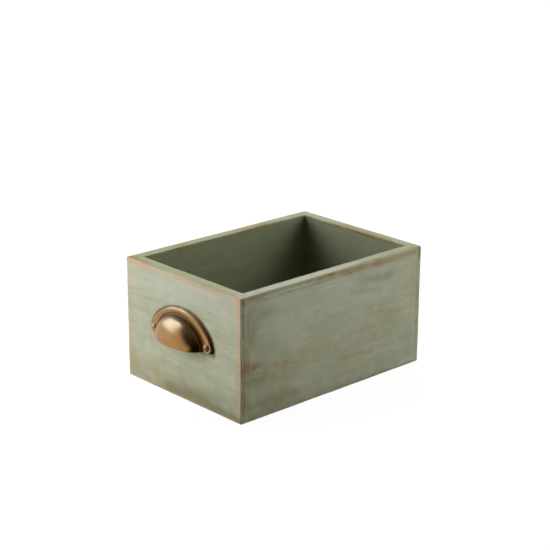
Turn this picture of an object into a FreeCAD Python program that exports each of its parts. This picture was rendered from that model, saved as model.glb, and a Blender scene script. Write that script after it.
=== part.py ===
import FreeCAD, Part
import math
import os

import Sketcher
from FreeCAD import Placement, Rotation, Vector

# Wooden display drawer, in millimetres: four solid boards butted and nailed at the corners, a plywood
# panel held in grooves, and a brass cup pull screwed to the front board. Nothing on it moves.
# +Z is up, and the front, with the pull, faces -Y. The origin is the middle of the footprint, pull
# included, at the level of the boards' lower edges.

SIZES = [
    ("drawer_width", 140.0, "outer width across the front"),
    ("drawer_length", 200.0, "front face to back face, without the pull"),
    ("drawer_height", 102.5, "height of the four boards"),
    ("front_thickness", 11.0, "thickness of the front board"),
    ("back_thickness", 10.0, "thickness of the back board"),
    ("side_thickness", 10.0, "thickness of each side board"),
    ("edge_radius", 1.2, "sanded rounding of the boards' outer edges and rim"),
    ("panel_thickness", 4.0, "plywood panel"),
    ("panel_rise", 8.0, "lower edges of the boards up to the panel's underside"),
    ("groove_depth", 4.5, "groove for the panel, cut into each board"),
    ("groove_play", 0.2, "room above the panel in its groove"),
    ("panel_end_play", 0.3, "room between the panel's edge and the groove's bottom"),
    ("brad_diameter", 1.2, "brad's shank"),
    ("brad_head_diameter", 2.2, "brad's flat head"),
    ("brad_head_height", 0.8, "thickness of the brad's head"),
    ("brad_length", 30.0, "brad from the top of its head to its point"),
    ("brad_point_length", 2.4, "cone at the brad's end"),
    ("brad_top_distance", 14.0, "top edge of the boards down to the upper brad"),
    ("brad_groove_distance", 8.0, "groove up to the lower brad"),
    ("pull_top_distance", 24.7, "top edge of the front board down to the pull's flange"),
    ("pull_hole_spacing", 64.0, "between the pull's two screws"),
    ("pull_hole_rise", 4.4, "pull's straight lower edge up to its screws"),
    ("pull_hole_play", 0.2, "radial room for a screw in the flange"),
    ("pull_projection", 15.5, "face of the front board to the front of the cup"),
    ("flange_depth", 2.4, "thickness of the pull's flange"),
    ("flange_end_band", 4.4, "flange outside a screw's head"),
    ("flange_top_band", 5.5, "flange above the cup's neck"),
    ("flange_edge_radius", 1.5, "rounded outer edge of the flange"),
    ("neck_radius", 1.2, "hollow rounding where the cup meets the flange"),
    ("cup_height", 22.5, "cup above the pull's straight lower edge"),
    ("cup_wall", 1.2, "metal left between the cup and its hollow"),
    ("lip_radius", 0.35, "rounded rim of the cup's mouth"),
    ("screw_head_diameter", 6.0, "round head of a pull screw"),
    ("screw_head_height", 2.1, "height of the round head"),
    ("screw_head_gap", 0.2, "between a screw's head and the cup's neck"),
    ("screw_diameter", 3.0, "screw over its thread"),
    ("screw_cover", 3.4, "wood left behind the screw's point"),
    ("screw_point_length", 3.0, "cone at the screw's end"),
    ("cross_width", 0.9, "width of each arm of the screw's cross recess"),
    ("cross_span", 3.4, "recess from end to end"),
    ("cross_depth", 1.1, "recess below the top of the head"),
]

doc = FreeCAD.newDocument("display_drawer")
sizes = doc.addObject("Spreadsheet::Sheet", "sizes")
for row, (alias, number, meaning) in enumerate(SIZES, start=1):
    sizes.set(f"A{row}", meaning)
    sizes.set(f"B{row}", str(number))
    sizes.setAlias(f"B{row}", alias)
doc.recompute()

# Signs of X on the two sides, and the lengths and places that several pieces share
SIDES = {"left": "-", "right": ""}
FRONT_FACE_Y = "((sizes.pull_projection - sizes.drawer_length) / 2)"
BACK_FACE_Y = "((sizes.pull_projection + sizes.drawer_length) / 2)"
SIDE_LENGTH = "(sizes.drawer_length - sizes.front_thickness - sizes.back_thickness)"
SIDE_CENTRE_Y = f"({FRONT_FACE_Y} + sizes.front_thickness + {SIDE_LENGTH} / 2)"
INNER_WIDTH = "(sizes.drawer_width - 2 * sizes.side_thickness)"
GROOVE_HEIGHT = "(sizes.panel_thickness + sizes.groove_play)"
GROOVE_TOP = f"(sizes.panel_rise + {GROOVE_HEIGHT})"
GROOVE_SPAN = f"({INNER_WIDTH} + 2 * sizes.groove_depth)"
PANEL_REACH = "(sizes.groove_depth - sizes.panel_end_play)"
BRAD_X = "(sizes.drawer_width / 2 - sizes.side_thickness / 2)"
LOWER_BRAD_Z = f"({GROOVE_TOP} + sizes.brad_groove_distance)"
UPPER_BRAD_Z = "(sizes.drawer_height - sizes.brad_top_distance)"
BRAD_LEVELS = {
    "lower": LOWER_BRAD_Z,
    "middle": f"(({LOWER_BRAD_Z} + {UPPER_BRAD_Z}) / 2)",
    "upper": UPPER_BRAD_Z,
}
CUP_HALF_WIDTH = (
    "(sizes.pull_hole_spacing / 2 - sizes.screw_head_diameter / 2"
    " - sizes.screw_head_gap - sizes.neck_radius)"
)
FLANGE_HALF_WIDTH = (
    "(sizes.pull_hole_spacing / 2 + sizes.screw_head_diameter / 2 + sizes.flange_end_band)"
)
FLANGE_HEIGHT = "(sizes.cup_height + sizes.neck_radius + sizes.flange_top_band)"
PULL_BASE_Z = f"(sizes.drawer_height - sizes.pull_top_distance - {FLANGE_HEIGHT})"
SCREW_REACH = "(sizes.front_thickness - sizes.screw_cover)"
SCREW_LENGTH = f"(sizes.flange_depth + {SCREW_REACH})"
SCREW_X = "(sizes.pull_hole_spacing / 2)"


# Sketches and features. Lengths within SAME_PLACE of each other count as one, and an outline of straight
# lines is first drawn on a circle of DRAWN_RADIUS, before its sizes pull it into shape.

SAME_PLACE = 0.0005
DRAWN_RADIUS = 10


def add_body(label):
    body = doc.addObject("PartDesign::Body", label)
    body.Label = label
    return body


def add_sketch(body, name, role, offset=None):
    """A sketch on one of the body's own planes, moved along the plane's normal by an expression."""
    sketch = body.newObject("Sketcher::SketchObject", name)
    plane = [feature for feature in body.Origin.OriginFeatures if feature.Role == role][0]
    sketch.AttachmentSupport = [(plane, "")]
    sketch.MapMode = "FlatFace"
    if offset:
        sketch.setExpression("AttachmentOffset.Base.z", offset)
    return sketch


def set_distance(sketch, axis, geometry, point, expression):
    """Fix one coordinate of a point. Its drawn value comes first, so that nothing jumps."""
    drawn = getattr(sketch.getPoint(geometry, point), axis.lower())
    constraint = Sketcher.Constraint(f"Distance{axis}", -1, 1, geometry, point, drawn)
    sketch.setExpression(f"Constraints[{sketch.addConstraint(constraint)}]", expression)


def set_place(sketch, geometry, point, place):
    set_distance(sketch, "X", geometry, point, place[0])
    set_distance(sketch, "Y", geometry, point, place[1])


def set_radius(sketch, geometry, expression):
    constraint = Sketcher.Constraint("Radius", geometry, sketch.Geometry[geometry].Radius)
    sketch.setExpression(f"Constraints[{sketch.addConstraint(constraint)}]", expression)


def join_ends(sketch, first, second):
    """Join the end of one line or arc to the start of another."""
    sketch.addConstraint(Sketcher.Constraint("Coincident", first, 2, second, 1))


def add_polygon(sketch, places):
    """A closed outline of straight lines, each corner placed by two expressions."""
    count = len(places)
    turns = [2 * math.pi * step / count for step in range(count)]
    drawn = [Vector(math.cos(turn), math.sin(turn), 0) * DRAWN_RADIUS for turn in turns]
    ends = drawn[1:] + drawn[:1]
    lines = [sketch.addGeometry(Part.LineSegment(*pair)) for pair in zip(drawn, ends)]
    for first, second in zip(lines, lines[1:] + lines[:1]):
        join_ends(sketch, first, second)
    for line, place in zip(lines, places):
        set_place(sketch, line, 1, place)


def add_rectangle(sketch, left, right, low, high):
    add_polygon(sketch, [(left, low), (right, low), (right, high), (left, high)])


def add_circle(sketch, place, diameter):
    circle = sketch.addGeometry(Part.Circle(Vector(0, 0, 0), Vector(0, 0, 1), DRAWN_RADIUS))
    set_place(sketch, circle, 3, place)
    set_radius(sketch, circle, f"{diameter} / 2")


def add_feature(body, kind, name, sketch, length, reverse=False):
    """A Pad or Pocket of the sketch, its length given by an expression."""
    feature = body.newObject(f"PartDesign::{kind}", name)
    feature.Profile = sketch
    feature.Reversed = reverse
    feature.setExpression("Length", length)
    return feature


def add_turned(body, name, sketch):
    """A full turn of a sketch about its own vertical axis."""
    turned = body.newObject("PartDesign::Revolution", name)
    turned.Profile = sketch
    turned.ReferenceAxis = (sketch, ["V_Axis"])
    turned.Angle = 360
    return turned


def round_edges(body, name, base, radius, chosen):
    """Round the edges of a finished feature for which chosen(edge) is true."""
    doc.recompute()
    edges = [(f"Edge{i}", edge) for i, edge in enumerate(base.Shape.Edges, start=1)]
    names = [label for label, edge in edges if edge.Length > SAME_PLACE and chosen(edge)]
    fillet = body.newObject("PartDesign::Fillet", name)
    fillet.Base = (base, names)
    fillet.setExpression("Radius", radius)
    return fillet


def lies_at(edge, axis, level):
    """True where the whole edge keeps one coordinate."""
    low = getattr(edge.BoundBox, f"{axis}Min")
    high = getattr(edge.BoundBox, f"{axis}Max")
    return max(abs(low - level), abs(high - level)) < SAME_PLACE


def runs_along(edge, axis):
    return abs(getattr(edge.BoundBox, f"{axis}Length") - edge.Length) < SAME_PLACE


def place_body(body, turn, x="0", y="0", z="0"):
    """Turn a body about +Z, then put its own origin at the given place."""
    body.Placement = Placement(Vector(0, 0, 0), Rotation(Vector(0, 0, 1), turn))
    body.setExpression("Placement.Base.x", x)
    body.setExpression("Placement.Base.y", y)
    body.setExpression("Placement.Base.z", z)


# Boards. A board's own frame has +X along it, y = 0 at its outer face, +Y into the wood and +Z up.

def add_blank(body, length, thickness):
    outline = add_sketch(body, f"{body.Label}_outline", "XZ_Plane")
    add_rectangle(outline, f"-{length} / 2", f"{length} / 2", "0", "sizes.drawer_height")
    return add_feature(body, "Pad", f"{body.Label}_blank", outline, thickness, reverse=True)


def cut_groove(body, length, thickness):
    """Groove for the panel, open on the board's inner face."""
    outline = add_sketch(body, f"{body.Label}_groove_outline", "XZ_Plane", f"-{thickness}")
    add_rectangle(outline, f"-{length} / 2", f"{length} / 2", "sizes.panel_rise", GROOVE_TOP)
    name = f"{body.Label}_groove"
    add_feature(body, "Pocket", name, outline, "sizes.groove_depth", reverse=True)


def drill(body, name, role, places, diameter, depth, offset=None, reverse=False):
    circles = add_sketch(body, f"{body.Label}_{name}_circles", role, offset)
    for place in places:
        add_circle(circles, place, diameter)
    add_feature(body, "Pocket", f"{body.Label}_{name}", circles, depth, reverse)


def make_cap_board(label, thickness):
    """A front or back board, which covers the ends of the side boards."""
    body = add_body(label)
    blank = add_blank(body, "sizes.drawer_width", thickness)
    round_edges(
        body,
        f"{label}_rounding",
        blank,
        "sizes.edge_radius",
        lambda edge: lies_at(edge, "Y", 0) or runs_along(edge, "Y"),
    )
    # The inner rim edge is rounded between the side boards only
    rim = add_sketch(body, f"{label}_rim_outline", "YZ_Plane")
    add_rim_corner(rim, thickness)
    rim_cut = add_feature(body, "Pocket", f"{label}_rim", rim, INNER_WIDTH)
    rim_cut.SideType = "Symmetric"
    cut_groove(body, GROOVE_SPAN, thickness)
    places = [(sign + BRAD_X, level) for sign in SIDES.values() for level in BRAD_LEVELS.values()]
    seat_depth = "sizes.brad_head_height"
    drill(body, "brad_holes", "XZ_Plane", places, "sizes.brad_diameter", thickness)
    drill(body, "brad_seats", "XZ_Plane", places, "sizes.brad_head_diameter", seat_depth)
    return body


def add_rim_corner(sketch, thickness):
    """The sliver between a square rim edge and its rounding, seen along the board."""
    corner_y = getattr(sizes, thickness.split(".")[1])
    corner_z = sizes.drawer_height
    radius = sizes.edge_radius
    centre = Vector(corner_y - radius, corner_z - radius, 0)
    turn = math.pi / 2
    arc = sketch.addGeometry(Part.ArcOfCircle(Part.Circle(centre, Vector(0, 0, 1), radius), 0, turn))
    corner = Vector(corner_y, corner_z, 0)
    top = sketch.addGeometry(Part.LineSegment(Vector(corner_y - radius, corner_z, 0), corner))
    side = sketch.addGeometry(Part.LineSegment(corner, Vector(corner_y, corner_z - radius, 0)))
    join_ends(sketch, arc, top)
    join_ends(sketch, top, side)
    join_ends(sketch, side, arc)
    set_place(sketch, top, 2, (thickness, "sizes.drawer_height"))
    centre_place = (f"{thickness} - sizes.edge_radius", "sizes.drawer_height - sizes.edge_radius")
    set_place(sketch, arc, 3, centre_place)
    set_distance(sketch, "Y", arc, 1, centre_place[1])
    set_distance(sketch, "X", arc, 2, centre_place[0])
    sketch.addConstraint(Sketcher.Constraint("Vertical", side))


def make_side_board(label, front_end):
    """A side board. front_end is the sign of its own X at the end that the front board covers."""
    body = add_body(label)
    blank = add_blank(body, SIDE_LENGTH, "sizes.side_thickness")
    top = sizes.drawer_height
    round_edges(
        body,
        f"{label}_rounding",
        blank,
        "sizes.edge_radius",
        lambda edge: runs_along(edge, "X") and (lies_at(edge, "Z", top) or lies_at(edge, "Y", 0)),
    )
    cut_groove(body, SIDE_LENGTH, "sizes.side_thickness")
    places = [("sizes.side_thickness / 2", level) for level in BRAD_LEVELS.values()]
    for end, cap_thickness in (("front", "sizes.front_thickness"), ("back", "sizes.back_thickness")):
        sign = front_end if end == "front" else -front_end
        drill(
            body,
            f"{end}_brad_holes",
            "YZ_Plane",
            places,
            "sizes.brad_diameter",
            f"sizes.brad_length - {cap_thickness}",
            offset=f"{sign} * {SIDE_LENGTH} / 2",
            reverse=sign < 0,
        )
    return body


front_board = make_cap_board("front_board", "sizes.front_thickness")
drill(
    front_board,
    "screw_holes",
    "XZ_Plane",
    [(sign + SCREW_X, f"{PULL_BASE_Z} + sizes.pull_hole_rise") for sign in SIDES.values()],
    "sizes.screw_diameter",
    SCREW_REACH,
)
place_body(front_board, 0, y=FRONT_FACE_Y)

back_board = make_cap_board("back_board", "sizes.back_thickness")
place_body(back_board, 180, y=BACK_FACE_Y)

left_side_board = make_side_board("left_side_board", front_end=1)
place_body(left_side_board, -90, x="-sizes.drawer_width / 2", y=SIDE_CENTRE_Y)

right_side_board = make_side_board("right_side_board", front_end=-1)
place_body(right_side_board, 90, x="sizes.drawer_width / 2", y=SIDE_CENTRE_Y)


# Plywood panel, captured in the four grooves and lying on their lower faces

bottom_panel = add_body("bottom_panel")
panel_outline = add_sketch(bottom_panel, "panel_outline", "XY_Plane")
PANEL_HALF_WIDTH = f"({INNER_WIDTH} / 2 + {PANEL_REACH})"
PANEL_HALF_LENGTH = f"({SIDE_LENGTH} / 2 + {PANEL_REACH})"
add_rectangle(
    panel_outline,
    f"-{PANEL_HALF_WIDTH}",
    PANEL_HALF_WIDTH,
    f"-{PANEL_HALF_LENGTH}",
    PANEL_HALF_LENGTH,
)
add_feature(bottom_panel, "Pad", "panel_sheet", panel_outline, "sizes.panel_thickness")
place_body(bottom_panel, 0, y=SIDE_CENTRE_Y, z="sizes.panel_rise")


# Brads, three through each end of the front and back boards into the side boards' end grain.
# A brad's own frame has the top of its head at the origin and its point along +Y.

def make_brad(label):
    body = add_body(label)
    profile = add_sketch(body, f"{label}_profile", "XY_Plane")
    shank = "sizes.brad_diameter / 2"
    head = "sizes.brad_head_diameter / 2"
    add_polygon(
        profile,
        [
            ("0", "0"),
            (head, "0"),
            (head, "sizes.brad_head_height"),
            (shank, "sizes.brad_head_height"),
            (shank, "sizes.brad_length - sizes.brad_point_length"),
            ("0", "sizes.brad_length"),
        ],
    )
    add_turned(body, f"{label}_turning", profile)
    return body


for end, face_y, turn in (("front", FRONT_FACE_Y, 0), ("back", BACK_FACE_Y, 180)):
    for side, sign in SIDES.items():
        for level, height in BRAD_LEVELS.items():
            brad = make_brad(f"{end}_{side}_brad_{level}")
            place_body(brad, turn, x=sign + BRAD_X, y=face_y, z=height)


# Cup pull, one piece of brass: an arched flange flat against the board and a quarter-round cup,
# open below and behind. Its own frame has the middle of its straight lower edge at the origin,
# on the board's face, with the cup towards -Y.

SHOULDER_LIMIT = 0.9
SHOULDER_RADIUS = (
    f"min({FLANGE_HEIGHT} ^ 2 / {FLANGE_HALF_WIDTH};"
    f" {SHOULDER_LIMIT} * {FLANGE_HEIGHT}; {SHOULDER_LIMIT} * {FLANGE_HALF_WIDTH})"
)
CROWN_RADIUS = (
    f"({FLANGE_HALF_WIDTH} ^ 2 + {FLANGE_HEIGHT} ^ 2 - 2 * {FLANGE_HALF_WIDTH} * {SHOULDER_RADIUS})"
    f" / (2 * ({FLANGE_HEIGHT} - {SHOULDER_RADIUS}))"
)


def add_arch(sketch):
    """The flange's outline: a straight lower edge, two shoulder arcs and a crown arc between them.
    The shoulders have the radius of an ellipse's end, and the crown is tangent to both."""
    half = sizes.pull_hole_spacing / 2 + sizes.screw_head_diameter / 2 + sizes.flange_end_band
    height = sizes.cup_height + sizes.neck_radius + sizes.flange_top_band
    shoulder = min(height**2 / half, SHOULDER_LIMIT * height, SHOULDER_LIMIT * half)
    crown = (half**2 + height**2 - 2 * half * shoulder) / (2 * (height - shoulder))
    turn = math.atan2(crown - height, half - shoulder)
    up = Vector(0, 0, 1)
    right_circle = Part.Circle(Vector(half - shoulder, 0, 0), up, shoulder)
    crown_circle = Part.Circle(Vector(0, height - crown, 0), up, crown)
    left_circle = Part.Circle(Vector(shoulder - half, 0, 0), up, shoulder)
    right = sketch.addGeometry(Part.ArcOfCircle(right_circle, 0, turn))
    top = sketch.addGeometry(Part.ArcOfCircle(crown_circle, turn, math.pi - turn))
    left = sketch.addGeometry(Part.ArcOfCircle(left_circle, math.pi - turn, math.pi))
    base = sketch.addGeometry(Part.LineSegment(Vector(-half, 0, 0), Vector(half, 0, 0)))
    for first, second in ((right, top), (top, left)):
        sketch.addConstraint(Sketcher.Constraint("Tangent", first, 2, second, 1))
    join_ends(sketch, left, base)
    join_ends(sketch, base, right)
    for geometry, point, axis in ((right, 3, -1), (left, 3, -1), (top, 3, -2), (base, 1, -1)):
        sketch.addConstraint(Sketcher.Constraint("PointOnObject", geometry, point, axis))
    set_place(sketch, base, 2, (FLANGE_HALF_WIDTH, "0"))
    sketch.addConstraint(Sketcher.Constraint("Equal", right, left))
    set_radius(sketch, right, SHOULDER_RADIUS)
    set_radius(sketch, top, CROWN_RADIUS)


cup_pull = add_body("cup_pull")
flange_outline = add_sketch(cup_pull, "flange_outline", "XZ_Plane")
add_arch(flange_outline)
add_feature(cup_pull, "Pad", "flange", flange_outline, "sizes.flange_depth")

cup = cup_pull.newObject("PartDesign::AdditiveEllipsoid", "cup")
cup.Angle1 = 0
cup.Angle2 = 90
cup.Angle3 = 180
cup.setExpression("Radius1", "sizes.cup_height")
cup.setExpression("Radius2", CUP_HALF_WIDTH)
cup.setExpression("Radius3", "sizes.pull_projection - sizes.flange_depth")
cup.Placement = Placement(Vector(0, 0, 0), Rotation(Vector(0, 0, 1), 180))
cup.setExpression("Placement.Base.y", "-sizes.flange_depth")

flange_front = -sizes.flange_depth
neck = round_edges(
    cup_pull,
    "neck",
    cup,
    "sizes.neck_radius",
    lambda edge: lies_at(edge, "Y", flange_front) and isinstance(edge.Curve, Part.BSplineCurve),
)
round_edges(
    cup_pull,
    "flange_rounding",
    neck,
    "sizes.flange_edge_radius",
    lambda edge: lies_at(edge, "Y", flange_front) and isinstance(edge.Curve, Part.Circle),
)

hollow = cup_pull.newObject("PartDesign::SubtractiveEllipsoid", "hollow")
hollow.Angle1 = -90
hollow.Angle2 = 90
hollow.Angle3 = 360
hollow.setExpression("Radius1", "sizes.cup_height - sizes.cup_wall")
hollow.setExpression("Radius2", f"{CUP_HALF_WIDTH} - sizes.cup_wall")
hollow.setExpression("Radius3", "sizes.pull_projection - sizes.cup_wall")
round_edges(
    cup_pull,
    "lip_rounding",
    hollow,
    "sizes.lip_radius",
    lambda edge: lies_at(edge, "Z", 0) and isinstance(edge.Curve, Part.BSplineCurve),
)

drill(
    cup_pull,
    "screw_holes",
    "XZ_Plane",
    [(sign + SCREW_X, "sizes.pull_hole_rise") for sign in SIDES.values()],
    "(sizes.screw_diameter + 2 * sizes.pull_hole_play)",
    "sizes.flange_depth",
    reverse=True,
)
place_body(cup_pull, 0, y=FRONT_FACE_Y, z=PULL_BASE_Z)


# Round-head screws of the pull. A screw's own frame has the middle of its head's flat underside at the
# origin, which seats on the flange, and its point along +Y.

def add_screw_profile(sketch):
    """Half of a screw: the dome of its head, an arc centred on the axis, then its shank and point."""
    head_radius = sizes.screw_head_diameter / 2
    head_height = sizes.screw_head_height
    shank_radius = sizes.screw_diameter / 2
    length = sizes.flange_depth + sizes.front_thickness - sizes.screw_cover
    dome_radius = (head_radius**2 + head_height**2) / (2 * head_height)
    dome_centre = Vector(0, dome_radius - head_height, 0)
    dome = Part.Circle(dome_centre, Vector(0, 0, 1), dome_radius)
    edge_turn = math.atan2(-dome_centre.y, head_radius)
    arc = sketch.addGeometry(Part.ArcOfCircle(dome, -math.pi / 2, edge_turn))
    corners = [
        Vector(head_radius, 0, 0),
        Vector(shank_radius, 0, 0),
        Vector(shank_radius, length - sizes.screw_point_length, 0),
        Vector(0, length, 0),
        Vector(0, -head_height, 0),
    ]
    places = [
        ("sizes.screw_head_diameter / 2", "0"),
        ("sizes.screw_diameter / 2", "0"),
        ("sizes.screw_diameter / 2", f"{SCREW_LENGTH} - sizes.screw_point_length"),
        ("0", SCREW_LENGTH),
    ]
    lines = [sketch.addGeometry(Part.LineSegment(*pair)) for pair in zip(corners, corners[1:])]
    for first, second in zip([arc] + lines, lines + [arc]):
        join_ends(sketch, first, second)
    for line, place in zip(lines, places):
        set_place(sketch, line, 1, place)
    set_place(sketch, arc, 1, ("0", "-sizes.screw_head_height"))
    sketch.addConstraint(Sketcher.Constraint("PointOnObject", arc, 3, -2))


def make_screw(label):
    body = add_body(label)
    profile = add_sketch(body, f"{label}_profile", "XY_Plane")
    add_screw_profile(profile)
    add_turned(body, f"{label}_turning", profile)
    cross = add_sketch(body, f"{label}_cross", "XZ_Plane", "sizes.screw_head_height")
    half_arm = "sizes.cross_width / 2"
    arm_end = "sizes.cross_span / 2"
    corners = [(arm_end, f"-{half_arm}"), (arm_end, half_arm), (half_arm, half_arm)]
    places = []
    for quarter in range(4):
        places.extend(corners)
        corners = [(f"-({y})", x) for x, y in corners]
    add_polygon(cross, places)
    add_feature(body, "Pocket", f"{label}_recess", cross, "sizes.cross_depth")
    return body


for side, sign in SIDES.items():
    screw = make_screw(f"pull_screw_{side}")
    place_body(
        screw,
        0,
        x=sign + SCREW_X,
        y=f"{FRONT_FACE_Y} - sizes.flange_depth",
        z=f"{PULL_BASE_Z} + sizes.pull_hole_rise",
    )


# Every feature has to be sound before a file is written

doc.recompute()
for item in doc.Objects:
    if "Invalid" in item.State or "Error" in item.State:
        raise RuntimeError(f"{item.Label} failed: {item.State}")

bodies = [item for item in doc.Objects if item.TypeId == "PartDesign::Body"]
for body in bodies:
    if body.Shape.isNull() or not body.Shape.isValid() or len(body.Shape.Solids) != 1:
        raise RuntimeError(f"{body.Label} is not one sound solid")

os.makedirs("parts", exist_ok=True)
for body in bodies:
    body.Shape.exportStep(f"parts/{body.Label}.step")
    print(f"{body.Label}: {body.Shape.Volume:.1f} mm3")
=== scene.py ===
import math

import bmesh
import bpy
import numpy as np
from mathutils import Matrix, Vector, noise


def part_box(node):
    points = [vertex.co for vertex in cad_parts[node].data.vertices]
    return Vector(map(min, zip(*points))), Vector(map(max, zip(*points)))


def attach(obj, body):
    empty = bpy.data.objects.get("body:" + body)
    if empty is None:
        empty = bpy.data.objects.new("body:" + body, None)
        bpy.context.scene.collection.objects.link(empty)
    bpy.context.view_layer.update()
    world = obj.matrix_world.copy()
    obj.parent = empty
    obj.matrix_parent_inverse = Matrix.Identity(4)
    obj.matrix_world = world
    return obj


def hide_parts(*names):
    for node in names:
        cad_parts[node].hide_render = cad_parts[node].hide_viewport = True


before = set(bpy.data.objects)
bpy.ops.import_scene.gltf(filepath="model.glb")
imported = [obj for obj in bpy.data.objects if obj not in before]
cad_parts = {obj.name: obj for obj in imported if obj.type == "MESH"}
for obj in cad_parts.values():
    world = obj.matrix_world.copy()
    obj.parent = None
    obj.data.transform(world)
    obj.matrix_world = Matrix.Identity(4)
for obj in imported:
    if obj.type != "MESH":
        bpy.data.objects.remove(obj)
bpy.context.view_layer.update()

# Lengths are written in millimetres, and MM turns them to metres. Only the studio is laid out in metres.
# Angles are written in degrees.
MM = 0.001


# Camera. A long lens at the photograph's angle, round to the right of the front and a little above,
# and so far away that the drawer's edges hardly converge.

AZIMUTH = math.radians(47.28)
ELEVATION = math.radians(18.56)
ROLL = math.radians(0.27)
CAMERA_DISTANCE = 1258.4 * MM
AIM = Vector((-0.42, 7.43, 81.75)) * MM
FOCAL_PIXELS = 1528.0
PHOTO_PIXELS = 550
SENSOR_WIDTH = 36

back = Vector((
    math.sin(AZIMUTH) * math.cos(ELEVATION),
    -math.cos(AZIMUTH) * math.cos(ELEVATION),
    math.sin(ELEVATION),
))
level_right = Vector((math.cos(AZIMUTH), math.sin(AZIMUTH), 0))
level_up = back.cross(level_right)
right = math.cos(ROLL) * level_right + math.sin(ROLL) * level_up
up = math.cos(ROLL) * level_up - math.sin(ROLL) * level_right
camera_data = bpy.data.cameras.new("camera")
camera_data.sensor_width = SENSOR_WIDTH
camera_data.lens = FOCAL_PIXELS / PHOTO_PIXELS * SENSOR_WIDTH
camera = bpy.data.objects.new("camera", camera_data)
bpy.context.scene.collection.objects.link(camera)
turn = Matrix((right, up, back)).transposed()
camera.matrix_world = Matrix.Translation(AIM + back * CAMERA_DISTANCE) @ turn.to_4x4()
bpy.context.scene.camera = camera


# Studio, in metres. A white table without an end, and three wide soft lamps: the key low on the left of the
# front, one behind the left side and a weak one behind the right. The brass alone mirrors a glint lamp and a
# dark screen, which stands round the right side on a dark mat, with its left edge slanting. The screen glows
# faintly by itself and only reflections see it: it is a painted dark reflection in the brass.

WHITE = "#FFFFFF"
FLOOR_HALF_SIZE = 4.0
FLOOR_DROP = 0.05 * MM
FLOOR_GLOW = 0.92
FLOOR_WHITENS = (0.5, 1.5)
FLOOR_PALE = "#B4B4B4"
FLOOR_SHADE = "#6E6E6E"
ROOM_STRENGTH = 0.05
STUDIO_CENTRE = Vector((0, 0, 0.05))
SOFT_LAMPS = {
    "key_lamp": {"azimuth": -40, "elevation": 18, "distance": 0.9, "size": 0.7, "power": 8.4},
    "left_lamp": {"azimuth": -120, "elevation": 46, "distance": 1.6, "size": 1.2, "power": 13.8},
    "right_lamp": {"azimuth": 138, "elevation": 25, "distance": 1.0, "size": 0.8, "power": 7.0},
}
GLINT_LAMP = {"azimuth": -55, "elevation": 31, "distance": 1.2, "size": 0.92, "power": 19.0}
GLINT_COLOUR = "#8DB5FF"
SCREEN_RADIUS = 1.0
SCREEN_LIFT = 0.001
SCREEN_TURN = -2
SCREEN_SWING = 180
SCREEN_SLANT = 0.55
SCREEN_SLANT_CLIMB = 60
SCREEN_LEAN = 58
# The heights over which the screen's glow turns from its dark foot colour to its paler top: painted light.
SCREEN_PAINTED_LIGHT_HEIGHTS = (0.2, 0.9)
SCREEN_GLOW_FOOT = "#0F0C08"
SCREEN_GLOW_TOP = "#6A6558"
SCREEN_STEPS = 24
MAT_SWING = 15
MAT_MIDDLE = Vector((0, -0.1, SCREEN_LIFT))
MAT_MIDDLE_RADIUS = 0.01


def linear(hex_colour):
    """The linear colour of an sRGB hex value, with an alpha of 1."""
    parts = [int(hex_colour[i : i + 2], 16) / 255 for i in (1, 3, 5)]
    return [p / 12.92 if p <= 0.04045 else ((p + 0.055) / 1.055) ** 2.4 for p in parts] + [1]


def add_node(tree, kind, inputs=None, **settings):
    """A node with its settings made. An input goes by its name, or by its number where names repeat, and
    takes a value, a socket, or a node's first output."""
    node = tree.nodes.new(kind)
    for name, value in settings.items():
        setattr(node, name, value)
    for socket, source in (inputs or {}).items():
        if isinstance(source, bpy.types.Node):
            source = source.outputs[0]
        if isinstance(source, bpy.types.NodeSocket):
            tree.links.new(source, node.inputs[socket])
        else:
            node.inputs[socket].default_value = source
    return node


def start_material(name):
    """A new material and its empty node tree."""
    material = bpy.data.materials.new(name)
    material.use_nodes = True
    material.node_tree.nodes.clear()
    return material, material.node_tree


def rays_that_see_white(tree):
    """1 for camera, glossy and transmission rays, which see the white studio, and 0 for all others."""
    rays = add_node(tree, "ShaderNodeLightPath").outputs
    seen = rays["Is Camera Ray"]
    for other in ("Is Glossy Ray", "Is Transmission Ray"):
        seen = add_node(tree, "ShaderNodeMath", {0: seen, 1: rays[other]}, operation="MAXIMUM").outputs[0]
    return seen


# White laminate, wiped clean: an even white to the eye and in the brass, with only a faint soft shadow round
# the drawer. What it throws back on the drawer is a pale grey's light.
floor_material, tree = start_material("white_table")
matt = add_node(tree, "ShaderNodeBsdfDiffuse", {"Color": linear(FLOOR_PALE)})
away = add_node(
    tree,
    "ShaderNodeVectorMath",
    {0: add_node(tree, "ShaderNodeTexCoord").outputs["Object"]},
    operation="LENGTH",
).outputs["Value"]
strength = add_node(
    tree,
    "ShaderNodeMapRange",
    {"Value": away, "From Min": FLOOR_WHITENS[0], "From Max": FLOOR_WHITENS[1], "To Min": FLOOR_GLOW},
)
glow = add_node(tree, "ShaderNodeEmission", {"Color": linear(WHITE), "Strength": strength})
shade = add_node(tree, "ShaderNodeBsdfDiffuse", {"Color": linear(FLOOR_SHADE)})
seen_white = add_node(tree, "ShaderNodeAddShader", {0: glow, 1: shade})
mixed = add_node(tree, "ShaderNodeMixShader", {0: rays_that_see_white(tree), 1: matt, 2: seen_white})
add_node(tree, "ShaderNodeOutputMaterial", {"Surface": mixed})

floor_mesh = bpy.data.meshes.new("floor")
corners = [(-1, -1), (1, -1), (1, 1), (-1, 1)]
floor_places = [(x * FLOOR_HALF_SIZE, y * FLOOR_HALF_SIZE, -FLOOR_DROP) for x, y in corners]
floor_mesh.from_pydata(floor_places, [], [(0, 1, 2, 3)])
floor_mesh.materials.append(floor_material)
floor = bpy.data.objects.new("floor", floor_mesh)
bpy.context.scene.collection.objects.link(floor)

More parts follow.
